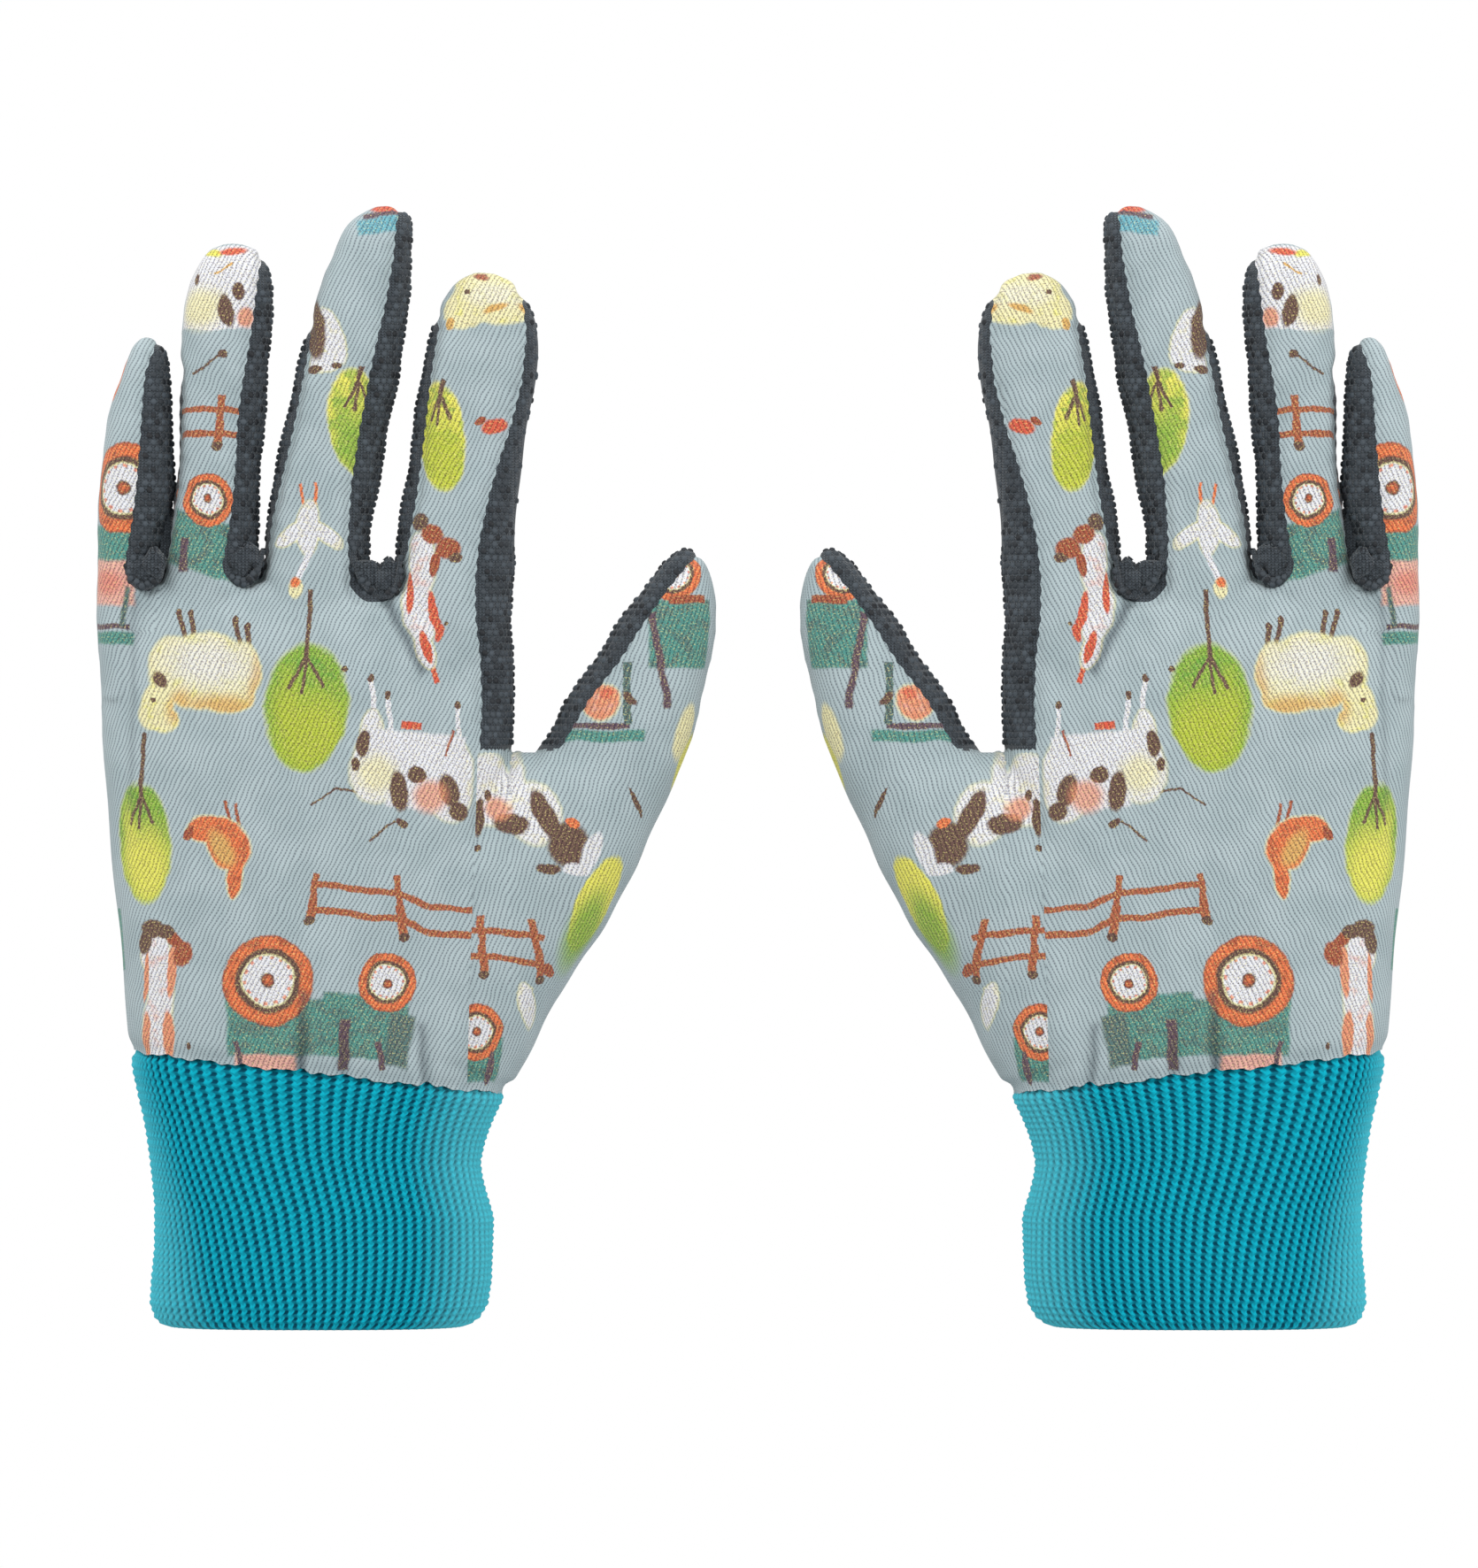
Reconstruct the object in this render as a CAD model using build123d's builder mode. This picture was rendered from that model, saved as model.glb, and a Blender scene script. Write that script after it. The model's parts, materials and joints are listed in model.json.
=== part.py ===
"""A pair of children's gardening gloves, standing filled on the hems of their knit cuffs.

Frame: +Z runs from the hems to the fingertips, the backs of the hands face -Y, the palms face +Y and
the thumbs point at each other across the YZ plane. The origin lies on the ground, midway between the
gloves. The left glove is modelled at negative X, and every piece of it is mirrored for the right one.

Each glove is cut and sewn: a printed back with a separate thumb back, a dotted knit palm with a
separate front for the two middle fingers and for the thumb, and a rib-knit cuff folded double at the
hem. Each finger and the thumb bend at one knuckle, where the cloth parts meet in a notch.
"""

import os
from math import cos, radians, sin, sqrt, tan

from build123d import *

# ---- driving dimensions, in millimetres and degrees ----

wall = 1.2  # one panel of cloth, filled as if worn
thumb_gap = 15.6  # between the two gloves' thumbs

cuff_length = 45.5  # hem to seam, on the glove's centre line
cuff_width = 59.0
cuff_depth = 32.0
cuff_hem_radius = 3.0  # how far the folded hem rounds in
cuff_layer = 1.3  # one layer of rib knit
cuff_fold_gap = 0.3  # between the two layers of the fold
cuff_seam_slope = 6.5  # the seam drops towards the thumb by this angle
cuff_seam_step = 1.6  # the cuff is this much narrower than the hand at their seam
cuff_flare = 14.0  # height over which the cuff widens to meet the hand

hand_depth_palm = 28.0
hand_depth_knuckle = 24.0
hand_top_depth = 19.0
crotch_height = 131.0  # top of the hand between the fingers
knuckle_drop = 5.0  # from there down to the knuckles
palm_drop = 27.0  # and down to the lower end of the palm's full width
hand_margin = 0.3  # how far the palm stands out beside the outer fingers
wrist_step_outer = 3.9  # how much further out than the cuff the hand starts, at the little finger's side
wrist_step_inner = 5.1  # and at the thumb's side
hand_over_cuff = 1.3  # and in depth, on each face
section_corner = 0.46  # corner radius of a cross-section, as a share of its depth

finger_root_drop = 9.0  # a finger's own line starts this far below the crotches
finger_root_sink = 9.0  # and its tube reaches this much deeper into the hand
finger_flex = 90.0  # how far a finger's middle knuckle bends
thumb_flex = 70.0
notch_margin = 1.5  # degrees kept open in the notch at full bend
joint_gap = 0.2  # from the knuckle's axis plane to each side's cloth

seam_x = 27.5  # the thumb seam, from the cuff's centre line
thumb_crotch_drop = 30.0  # the thumb's crotch lies this far below the fingers'
thumb_root_drop = 47.0
thumb_heel_rise = 10.5  # the ball of the thumb starts this far above the cuff seam
front_insert_drop = 7.0  # the seam under the two middle fingers' fronts
front_insert_shift = 0.5  # its sides pass this far beside the creases between the fingers

label_width, label_height, label_thickness = 14.0, 24.0, 0.5
label_offset = 6.0  # from the cuff's centre line towards the little finger
label_clearance = 0.15
overlock_height, overlock_thickness = 4.0, 0.9  # the sewn edge inside, where hand and cuff meet
overlock_clearance = 0.12


class Limb:
    """A finger or thumb: a tube of rounded sections along a straight line that leans in the XZ plane."""

    def __init__(self, root, run, lean, widths, depths, knuckle, flex):
        self.root, self.run, self.lean = root, run, radians(lean)
        self.width_root, self.width_knuckle, self.width_tip = widths
        self.depth_root, self.depth_knuckle, self.depth_tip = depths
        self.dome = self.width_tip / 2
        self.straight = run - self.dome
        self.knuckle = knuckle
        self.flex = flex

    def size(self, s):
        """Width and depth at the distance s along the limb, without its domed end."""
        if s <= self.knuckle:
            share = max(s, 0) / self.knuckle
            width = self.width_root + (self.width_knuckle - self.width_root) * share
            depth = self.depth_root + (self.depth_knuckle - self.depth_root) * share
        else:
            share = min(1, (s - self.knuckle) / (self.straight - self.knuckle))
            width = self.width_knuckle + (self.width_tip - self.width_knuckle) * share
            depth = self.depth_knuckle + (self.depth_tip - self.depth_knuckle) * share
        return width, depth

    def plane(self, s):
        """The cross-section's plane: local x across the limb, local y towards the palm."""
        x = self.root[0] + s * sin(self.lean)
        z = self.root[1] + s * cos(self.lean)
        across = (cos(self.lean), 0, -sin(self.lean))
        along = (sin(self.lean), 0, cos(self.lean))
        return Plane(origin=(x, 0, z), x_dir=across, z_dir=along)

    def edge_x(self, z, side):
        """Where the limb's side lies at the height z: side is -1 for low x and +1 for high x."""
        s = (z - self.root[1]) / cos(self.lean)
        return self.root[0] + s * sin(self.lean) + side * self.size(s)[0] / 2 / cos(self.lean)


# ---- positions, for a left glove whose cuff is centred on the Z axis ----

root_height = crotch_height - finger_root_drop
thumb_crotch_height = crotch_height - thumb_crotch_drop
palm_height = crotch_height - palm_drop
knuckle_height = crotch_height - knuckle_drop
insert_height = crotch_height - front_insert_drop

little = Limb(
    root=(-34.0, root_height), run=54.6, lean=2.9,
    widths=(13.2, 12.4, 9.6), depths=(15.0, 13.0, 10.5), knuckle=29.5, flex=finger_flex,
)
ring = Limb(
    root=(-20.2, root_height), run=71.3, lean=3.7,
    widths=(15.6, 15.0, 14.2), depths=(16.5, 14.5, 12.0), knuckle=39.0, flex=finger_flex,
)
middle = Limb(
    root=(-5.0, root_height), run=80.0, lean=12.0,
    widths=(19.4, 18.6, 14.4), depths=(17.0, 15.0, 12.5), knuckle=40.0, flex=finger_flex,
)
index = Limb(
    root=(22.6, root_height), run=66.8, lean=7.0,
    widths=(20.0, 19.6, 16.4), depths=(17.0, 15.0, 12.5), knuckle=33.0, flex=finger_flex,
)
thumb = Limb(
    root=(41.5, crotch_height - thumb_root_drop), run=60.9, lean=24.1,
    widths=(30.0, 21.4, 13.6), depths=(21.0, 17.5, 13.5), knuckle=32.0, flex=thumb_flex,
)
thumb_heel = (21.0, cuff_length + thumb_heel_rise)
thumb_heel_width, thumb_heel_depth = 32.0, 28.0

fingers = {"index": index, "middle": middle, "ring": ring, "little": little}
digits = {**fingers, "thumb": thumb}

hand_left = little.edge_x(knuckle_height, -1) - hand_margin
hand_right = index.edge_x(knuckle_height, +1) + hand_margin
wrist_left = -cuff_width / 2 - wrist_step_outer
wrist_right = cuff_width / 2 + wrist_step_inner
wrist_depth = cuff_depth + 2 * hand_over_cuff
thumb_reach = thumb.plane(thumb.straight).origin.X + thumb.dome
half_spacing = thumb_reach + thumb_gap / 2  # from the middle of the pair to each cuff's centre line
far = 400.0  # longer than anything here


# ---- shapes that several pieces share ----


def section(width, depth, inset):
    """A rounded cross-section, in the active sketch, smaller by inset all round."""
    w, d = width - 2 * inset, depth - 2 * inset
    RectangleRounded(w, d, min(w, d) * section_corner)


def limb_solid(limb, start, end, inset=0.0):
    """The limb's tube between two distances along it, its tip domed, and smaller by inset all round."""
    dome = limb.dome - inset
    stops = [(s, 1.0) for s in (start, limb.knuckle, limb.straight) if start <= s < end]
    if end > limb.straight:
        stops += [(limb.straight + dome * share, sqrt(1 - share**2)) for share in (0.5, 0.8, 0.95)]
    else:
        stops.append((end, 1.0))
    with BuildPart() as tube:
        for s, shrunk in sorted(set(stops)):
            width, depth = limb.size(s)
            with BuildSketch(limb.plane(s)):
                section((width - 2 * inset) * shrunk, (depth - 2 * inset) * shrunk, 0)
        loft(ruled=True)
    return tube.part


def hand_solid(inset=0.0):
    """The palm's volume from below the cuff seam to the finger crotches."""
    levels = [
        (cuff_length - far / 40, wrist_left, wrist_right, wrist_depth),
        (cuff_length, wrist_left, wrist_right, wrist_depth),
        (palm_height, hand_left, hand_right, hand_depth_palm),
        (knuckle_height, hand_left, hand_right, hand_depth_knuckle),
        (crotch_height - inset, hand_left + 1, hand_right - 1, hand_top_depth),
    ]
    with BuildPart() as hand:
        for z, left, right, depth in levels:
            with BuildSketch(Plane.XY.offset(z)):
                with Locations(((left + right) / 2, 0)):
                    section(right - left, depth, inset)
        loft(ruled=True)
    return hand.part


def thumb_base(inset=0.0):
    """The ball of the thumb, from the wrist to the thumb's root, then on to its knuckle."""
    root = thumb.plane(0)
    heel = Plane(origin=(thumb_heel[0], 0, thumb_heel[1]), x_dir=root.x_dir, z_dir=root.z_dir)
    with BuildPart() as ball:
        with BuildSketch(heel):
            section(thumb_heel_width, thumb_heel_depth, inset)
        for s in (0, thumb.knuckle):
            width, depth = thumb.size(s)
            with BuildSketch(thumb.plane(s)):
                section(width, depth, inset)
        loft(ruled=True)
    return ball.part


def seam_side(above, offset=0.0):
    """Everything above, or below, a plane offset from the slanted seam between hand and cuff."""
    rise = far / 2 * tan(radians(cuff_seam_slope))
    level = cuff_length + offset
    edge = far / 2 if above else -far / 2
    with BuildPart() as side:
        with BuildSketch(Plane.XZ):
            Polygon(
                (-far / 2, level + rise), (far / 2, level - rise),
                (far / 2, level + edge), (-far / 2, level + edge),
                align=None,
            )
        extrude(amount=far / 2, both=True)
    return side.part


def half_space(palm_side):
    """The palm half, y above 0, or the back half, y below 0."""
    with BuildPart() as half:
        with Locations((0, far / 2 if palm_side else -far / 2, 0)):
            Box(far, far, far * 2)
    return half.part


def plate(outline):
    """An outline in X and Z, carried right through the glove."""
    with BuildPart() as block:
        with BuildSketch(Plane.XZ):
            Polygon(*outline, align=None)
        extrude(amount=far / 4, both=True)
    return block.part


def notch(limb, tip_side):
    """What the knuckle takes from one side: a wedge open to the palm, so that the limb can bend."""
    half = radians(limb.flex / 2 + notch_margin)
    reach = limb.depth_knuckle * 0.75
    width, _ = limb.size(limb.knuckle - reach * tan(half))
    sign = 1 if tip_side else -1
    at = limb.plane(limb.knuckle)
    side_on = Plane(origin=at.origin, x_dir=at.z_dir, z_dir=-at.x_dir)  # x along the limb, y to the palm
    with BuildPart() as wedge:
        with BuildSketch(side_on):
            Polygon(
                (-sign * reach, -reach), (sign * joint_gap, -reach), (sign * joint_gap, 0),
                (sign * (joint_gap + reach * tan(half)), reach), (-sign * reach, reach),
                align=None,
            )
        extrude(amount=width / 2 + joint_gap, both=True)
    return wedge.part


def split_between(a, b, z):
    """The X beside the middle of two neighbouring fingers' facing sides, at the height z."""
    return (a.edge_x(z, +1) + b.edge_x(z, -1)) / 2 - front_insert_shift


# ---- the left glove ----

pieces = {}

outer, inner = hand_solid(), hand_solid(wall)
with BuildPart() as hand_shell:
    add(outer)
    add(thumb_base())
    for finger in fingers.values():
        add(limb_solid(finger, -finger_root_sink, finger.knuckle))
    add(inner, mode=Mode.SUBTRACT)
    add(thumb_base(wall), mode=Mode.SUBTRACT)
    for finger in fingers.values():
        add(limb_solid(finger, -finger_root_sink, finger.knuckle, wall), mode=Mode.SUBTRACT)
    add(seam_side(above=True), mode=Mode.INTERSECT)
    for digit in digits.values():
        add(notch(digit, tip_side=False), mode=Mode.SUBTRACT)

thumb_top = thumb.plane(thumb.run).origin.Z
insert_top = index.plane(index.run).origin.Z
thumb_area = plate([
    (seam_x, 0), (seam_x, thumb_crotch_height), (hand_right, thumb_crotch_height),
    (index.edge_x(thumb_top, +1) + 1, thumb_top), (half_spacing, thumb_top), (half_spacing, 0),
])
insert_area = plate([
    (split_between(little, ring, insert_height), insert_height),
    (split_between(little, ring, insert_top), insert_top),
    (split_between(middle, index, insert_top), insert_top),
    (split_between(middle, index, insert_height), insert_height),
])

with BuildPart() as back_panel:
    add(hand_shell.part)
    add(half_space(palm_side=False), mode=Mode.INTERSECT)
    add(thumb_area, mode=Mode.SUBTRACT)
pieces["back_panel"] = back_panel.part

with BuildPart() as thumb_back_panel:
    add(hand_shell.part)
    add(half_space(palm_side=False), mode=Mode.INTERSECT)
    add(thumb_area, mode=Mode.INTERSECT)
pieces["thumb_back_panel"] = thumb_back_panel.part

with BuildPart() as palm_panel:
    add(hand_shell.part)
    add(half_space(palm_side=True), mode=Mode.INTERSECT)
    add(thumb_area, mode=Mode.SUBTRACT)
    add(insert_area, mode=Mode.SUBTRACT)
pieces["palm_panel"] = palm_panel.part

with BuildPart() as middle_fronts:
    add(hand_shell.part)
    add(half_space(palm_side=True), mode=Mode.INTERSECT)
    add(insert_area, mode=Mode.INTERSECT)
pieces["middle_fingers_front_panel"] = middle_fronts.part

with BuildPart() as thumb_front_panel:
    add(hand_shell.part)
    add(half_space(palm_side=True), mode=Mode.INTERSECT)
    add(thumb_area, mode=Mode.INTERSECT)
pieces["thumb_front_panel"] = thumb_front_panel.part

for name, digit in digits.items():
    with BuildPart() as tip_shell:
        add(limb_solid(digit, digit.knuckle - joint_gap, digit.run))
        add(limb_solid(digit, digit.knuckle - 2 * joint_gap, digit.run, wall), mode=Mode.SUBTRACT)
        add(notch(digit, tip_side=True), mode=Mode.SUBTRACT)
    for side in ("back", "front"):
        with BuildPart() as tip_half:
            add(tip_shell.part)
            add(half_space(palm_side=side == "front"), mode=Mode.INTERSECT)
        pieces[f"{name}_tip_{side}"] = tip_half.part


def cuff_volume(inset, bottom, top):
    """The cuff's tube, smaller by inset, between two heights: drawn in at the hem, wider at the seam."""
    seam_width = wrist_right - wrist_left - cuff_seam_step
    seam_centre = (wrist_left + wrist_right) / 2
    rounded = cuff_hem_radius if inset == 0 else 0
    levels = [
        (bottom, 0, cuff_width - rounded, cuff_depth - rounded),
        (cuff_hem_radius, 0, cuff_width, cuff_depth),
        (cuff_length - cuff_flare, 0, cuff_width, cuff_depth),
        (cuff_length, seam_centre, seam_width, cuff_depth),
        (top, seam_centre, seam_width, cuff_depth),
    ]
    with BuildPart() as tube:
        for z, middle_x, width, depth in levels:
            with BuildSketch(Plane.XY.offset(z)):
                with Locations((middle_x, 0)):
                    section(width, depth, inset)
        loft(ruled=True)
    return tube.part


cuff_top = cuff_length + 12
with BuildPart() as knit_cuff:
    add(cuff_volume(0, 0, cuff_top))
    add(cuff_volume(2 * cuff_layer + cuff_fold_gap, -1, cuff_top + 1), mode=Mode.SUBTRACT)
    add(seam_side(above=False), mode=Mode.INTERSECT)
pieces["knit_cuff"] = knit_cuff.part

with BuildPart() as cuff_overlock:
    add(hand_solid(wall + overlock_clearance))
    add(hand_solid(wall + overlock_clearance + overlock_thickness), mode=Mode.SUBTRACT)
    add(seam_side(above=True, offset=overlock_clearance), mode=Mode.INTERSECT)
    add(seam_side(above=False, offset=overlock_clearance + overlock_height), mode=Mode.INTERSECT)
pieces["cuff_overlock_seam"] = cuff_overlock.part

label_top = cuff_length - overlock_clearance
label_y = cuff_depth / 2 - 2 * cuff_layer - cuff_fold_gap - label_clearance - label_thickness / 2
with BuildPart() as care_label:
    with Locations((-label_offset, label_y, label_top - label_height / 2)):
        Box(label_width, label_thickness, label_height)
pieces["care_label"] = care_label.part

# ---- both gloves ----

os.makedirs("parts", exist_ok=True)
for name, piece in pieces.items():
    with BuildPart() as left:
        with Locations((-half_spacing, 0, 0)):
            add(piece)
    left.part.label = f"left_{name}"
    export_step(left.part, f"parts/left_{name}.step")
    with BuildPart() as right:
        mirror(left.part, about=Plane.YZ)
    right.part.label = f"right_{name}"
    export_step(right.part, f"parts/right_{name}.step")
    print(name, len(left.part.solids()), round(left.part.volume, 1), round(right.part.volume, 1))
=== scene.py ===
"""Looks of a pair of children's gardening gloves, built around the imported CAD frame.

Shapes are worked out in millimetres for a left glove whose cuff is centred on the Z axis, with the back of
the hand towards -Y and the thumb towards +X. Each finished piece is then moved to its place at negative X,
and mirrored for the right glove.
"""

import json

import bpy
import numpy as np
from math import cos, pi, radians, sin, sqrt, tan
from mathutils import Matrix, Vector


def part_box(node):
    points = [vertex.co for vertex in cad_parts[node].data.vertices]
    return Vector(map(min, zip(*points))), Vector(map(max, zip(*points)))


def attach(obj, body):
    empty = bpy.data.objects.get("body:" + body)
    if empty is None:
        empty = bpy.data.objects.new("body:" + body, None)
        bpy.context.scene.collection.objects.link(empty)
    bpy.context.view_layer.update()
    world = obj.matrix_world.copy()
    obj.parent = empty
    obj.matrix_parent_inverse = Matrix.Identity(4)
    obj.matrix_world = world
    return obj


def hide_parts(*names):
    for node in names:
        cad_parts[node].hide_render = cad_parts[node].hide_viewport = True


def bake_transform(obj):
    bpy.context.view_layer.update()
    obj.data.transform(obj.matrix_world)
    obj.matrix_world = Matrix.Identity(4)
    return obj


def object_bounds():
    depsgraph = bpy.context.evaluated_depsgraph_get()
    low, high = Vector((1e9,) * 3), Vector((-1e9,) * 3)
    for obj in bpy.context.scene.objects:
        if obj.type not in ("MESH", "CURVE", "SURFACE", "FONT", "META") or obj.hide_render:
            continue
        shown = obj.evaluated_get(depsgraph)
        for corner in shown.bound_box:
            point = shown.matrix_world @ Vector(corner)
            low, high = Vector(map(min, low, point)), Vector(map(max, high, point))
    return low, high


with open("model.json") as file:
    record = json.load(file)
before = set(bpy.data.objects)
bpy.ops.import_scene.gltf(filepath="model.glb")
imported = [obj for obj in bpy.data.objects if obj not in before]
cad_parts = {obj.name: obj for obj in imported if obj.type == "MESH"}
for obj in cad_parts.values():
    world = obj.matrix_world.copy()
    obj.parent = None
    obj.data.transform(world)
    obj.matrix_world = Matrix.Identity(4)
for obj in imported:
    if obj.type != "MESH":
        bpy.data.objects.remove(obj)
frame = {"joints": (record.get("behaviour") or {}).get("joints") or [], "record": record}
cad_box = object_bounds()

MM = 0.001
VOXEL = 0.62  # mesh size of the hand's surface
CLOTH = 0.7  # thickness of one panel
CUFF_Z = 45.5  # the seam between hand and cuff, on the centre line
CUFF_SLOPE = tan(radians(6.5))  # it drops towards the thumb
CUFF_TOP = 49.5  # where the rib knit ends, inside the hand
LINING_TOP = 47.5  # where its folded-in layer ends
THUMB_SEAM_X = 27.7
CROTCH_Z = 102.6  # the thumb panel's top edge beside the forefinger
PLEATS = (-2.6, 4.9, 19.4)  # where the hand's cloth is gathered into the cuff
STITCH = 2.6  # pitch of the small scallops along a seam
HAND_POWER = 2.75  # how square the palm's sections are: 2 is an oval
CUFF_POWER = 2.7
FINGER_LEAN = 0.9  # how far the fingers' roots lie towards the back of the hand

mounts = {m["name"]: m for m in frame["record"]["mounts"]}
HALF = abs(mounts["left_hem"]["pos_m"][0]) / MM
joints = {j["child"]: j for j in frame["joints"]}

# ------------------------------------------------------------------ shape tables, in millimetres
# Fingers: height, left side, right side, depth of each level section.
FINGERS = {
    "little": [
        (112, -39.2, -29.8, 15), (124, -39.5, -29.8, 16), (136, -39.6, -29.0, 15.5),
        (150, -39.4, -27.0, 14.5), (156, -38.9, -26.8, 13.8), (163, -37.6, -26.8, 12.8),
        (169, -35.7, -27.0, 11.4), (173, -34.2, -27.3, 9.4), (175.2, -33.0, -28.0, 6.8),
        (176.4, -31.6, -29.4, 3),
    ],
    "ring": [
        (112, -27.6, -11.6, 16), (124, -28.0, -11.6, 17.5), (133, -28.0, -11.5, 17.2),
        (141, -26.7, -11.3, 16.8), (150, -25.5, -10.8, 16), (163, -25.2, -9.9, 15),
        (172, -25.1, -9.5, 14.4), (182, -24.2, -8.9, 13), (187.5, -22.7, -9.0, 11),
        (190.8, -20.8, -10.2, 8.4), (192.5, -18.8, -12.2, 5.4), (193.1, -17.0, -14.0, 2.5),
    ],
    "middle": [
        (112, -12.0, 8.0, 17), (124, -11.0, 8.4, 18.5), (135, -10.2, 8.6, 18), (144, -9.4, 9.1, 17.2),
        (150, -8.7, 10.3, 16.6), (160, -6.5, 12.0, 15.6), (169, -4.5, 13.7, 15), (182, -1.1, 15.4, 13.8),
        (191, 2.3, 16.2, 12.2), (196.5, 5.2, 16.4, 9.6), (198.6, 7.8, 15.8, 6.6), (199.9, 10.2, 13.8, 3),
    ],
    "index": [
        (112, 11.5, 33.6, 16), (124, 12.2, 34.2, 18.5), (135, 13.2, 34.6, 18), (144, 14.2, 34.9, 17),
        (156, 16.0, 36.0, 15.8), (169, 18.0, 38.4, 15), (176, 19.7, 39.0, 13.8), (180.5, 21.0, 38.3, 12.4),
        (184.5, 23.0, 36.2, 10), (186.8, 25.2, 33.8, 7), (187.9, 27.8, 31.0, 3),
    ],
}
# Thumb: the two ends of each slanting section, (x, z) of the inner and the outer side, and its depth.
THUMB = [
    ((2.0, 58.0), (34.4, 43.4), 31), ((8.0, 74.0), (42.0, 58.2), 29), ((18.0, 88.0), (51.2, 72.6), 26.5),
    ((29.0, 97.5), (57.6, 84.9), 23.8), ((38.6, 103.0), (61.4, 93.6), 21.4),
    ((43.8, 112.0), (65.2, 102.8), 19.6), ((48.8, 118.5), (67.4, 110.4), 18.2),
    ((52.9, 125.0), (69.3, 118.1), 16.8), ((57.1, 131.0), (70.4, 125.4), 15),
    ((59.6, 134.2), (70.5, 129.6), 13.2), ((61.8, 136.8), (69.9, 133.2), 10.8),
    ((63.6, 138.3), (68.8, 135.9), 8), ((65.0, 139.2), (67.6, 138.0), 4),
]
# Palm: height, left side, right side, depth.
HAND = [
    (34, -33.6, 33.0, 33.4), (45, -34.0, 33.4, 34.2), (52, -34.2, 34.0, 33.8), (66, -35.3, 34.4, 32),
    (80, -36.6, 34.2, 30), (92, -37.8, 34.0, 28.4), (104, -38.8, 34.2, 26.8), (116, -39.2, 34.3, 24.4),
    (124, -39.2, 34.2, 21.6), (129, -38.4, 32.6, 18), (132.5, -36.5, 30.2, 12.5),
]
# The web at the thumb's crotch: height, left side, right side, depth.
WEB = [
    (90, 32.5, 41.5, 19), (97, 32.7, 41.3, 17), (100, 33.2, 40.9, 14.5), (101.8, 34.2, 40.0, 11),
    (102.7, 35.6, 38.6, 6),
]
# Where the printed back ends, seen from the front: height and x of the seam.
EDGE_RIGHT = {
    "little": [(118, -34.6), (136, -34.4), (143.5, -33.2), (150, -32.4), (158, -31.8), (165, -31.4),
               (170, -31.0), (176, -29.0), (180, -27.0)],
    "ring": [(118, -17.4), (136, -17.0), (143.8, -15.7), (149.3, -15.1), (155, -14.7), (161, -14.5),
             (167.5, -13.7), (174, -12.6), (178, -12.0), (190, -10.6), (196, -9.0)],
    "middle": [(118, 5.6), (132, 5.6), (140, 5.2), (150, 5.8), (160, 7.3), (169, 8.9), (176, 10.4),
               (182, 11.8), (191, 13.3), (196, 13.6), (202, 14.4)],
    "index": [(103, 28.7), (110.6, 29.1), (119.3, 28.8), (126.4, 28.0), (133, 27.9), (140, 28.6),
              (148.5, 30.4), (154, 32.0), (160, 34.0), (168.4, 36.1), (177, 36.9), (185, 36.0), (190, 35.0)],
}
EDGE_LEFT = {
    "little": [(118, -60), (180, -60)],
    "ring": [(118, -28.4), (133, -28.4), (141, -26.8), (150, -25.2), (166, -24.4), (172, -25.4),
             (178, -30), (196, -40)],
    "middle": [(118, -9.6), (134, -9.6), (144, -8.4), (150, -6.9), (160, -4.6), (169, -2.9), (176, -1.6),
               (181, -2.4), (186, -6), (202, -12)],
    "index": [(118, 14.4), (132, 14.6), (148, 17.4), (160, 18.9), (170, 20.0), (178, 21.2), (182, 20.6),
              (186, 16), (190, 10)],
}
# Crotches: x, height of the centre, half width and roundness of the dark strips' lower ends.
CROTCHES = [(-31.2, 135.8, 3.6, 0.95), (-13.4, 136.2, 4.0, 0.9), (10.0, 133.6, 4.6, 1.0)]
THUMB_STRIP = 3.9  # width of the dark strip along the thumb's inner side
WRAP = 3.0  # how far the printed cloth turns round the outer edges, past the middle plane
# Pleats at the cuff: x, lean, width, depth, height.
PLEAT_SHAPES = [
    (PLEATS[0], 0.9, 0.7, 2.2, 18), (PLEATS[1], -0.4, 1.0, 1.3, 15), (PLEATS[2], -1.2, 0.9, 1.5, 13),
    (-15.0, 0.8, 1.8, 0.4, 9), (12.0, 0.6, 1.8, 0.4, 10),
]
# Creases pulled from the crotches: the two ends, depth and width.
PULLS = [
    ((12.8, 128.6), (22.6, 112.0), 1.15, 1.5), ((-31.0, 131.0), (-34.2, 120.0), 0.55, 1.0),
    ((-34.2, 122.0), (-35.0, 70.0), 0.45, 0.8), ((-11.5, 131.0), (-6.5, 121.0), 0.35, 1.4),
    ((-27.5, 131.0), (-30.0, 122.0), 0.35, 1.3), ((24.0, 117.0), (29.0, 111.0), 0.4, 1.1),
    ((34.0, 101.0), (28.0, 88.0), 0.35, 2.0), ((11.0, 127.5), (9.0, 117.0), 0.3, 1.6),
]


def table(rows):
    return np.array(rows, float)


# ------------------------------------------------------------------ mesh helpers


def superellipse(a, b, power, count):
    """count points round a section with half sizes a and b."""
    t = np.linspace(0, 2 * pi, count, endpoint=False)
    c, s = np.cos(t), np.sin(t)
    return a * np.sign(c) * np.abs(c) ** (2 / power), b * np.sign(s) * np.abs(s) ** (2 / power)


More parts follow.
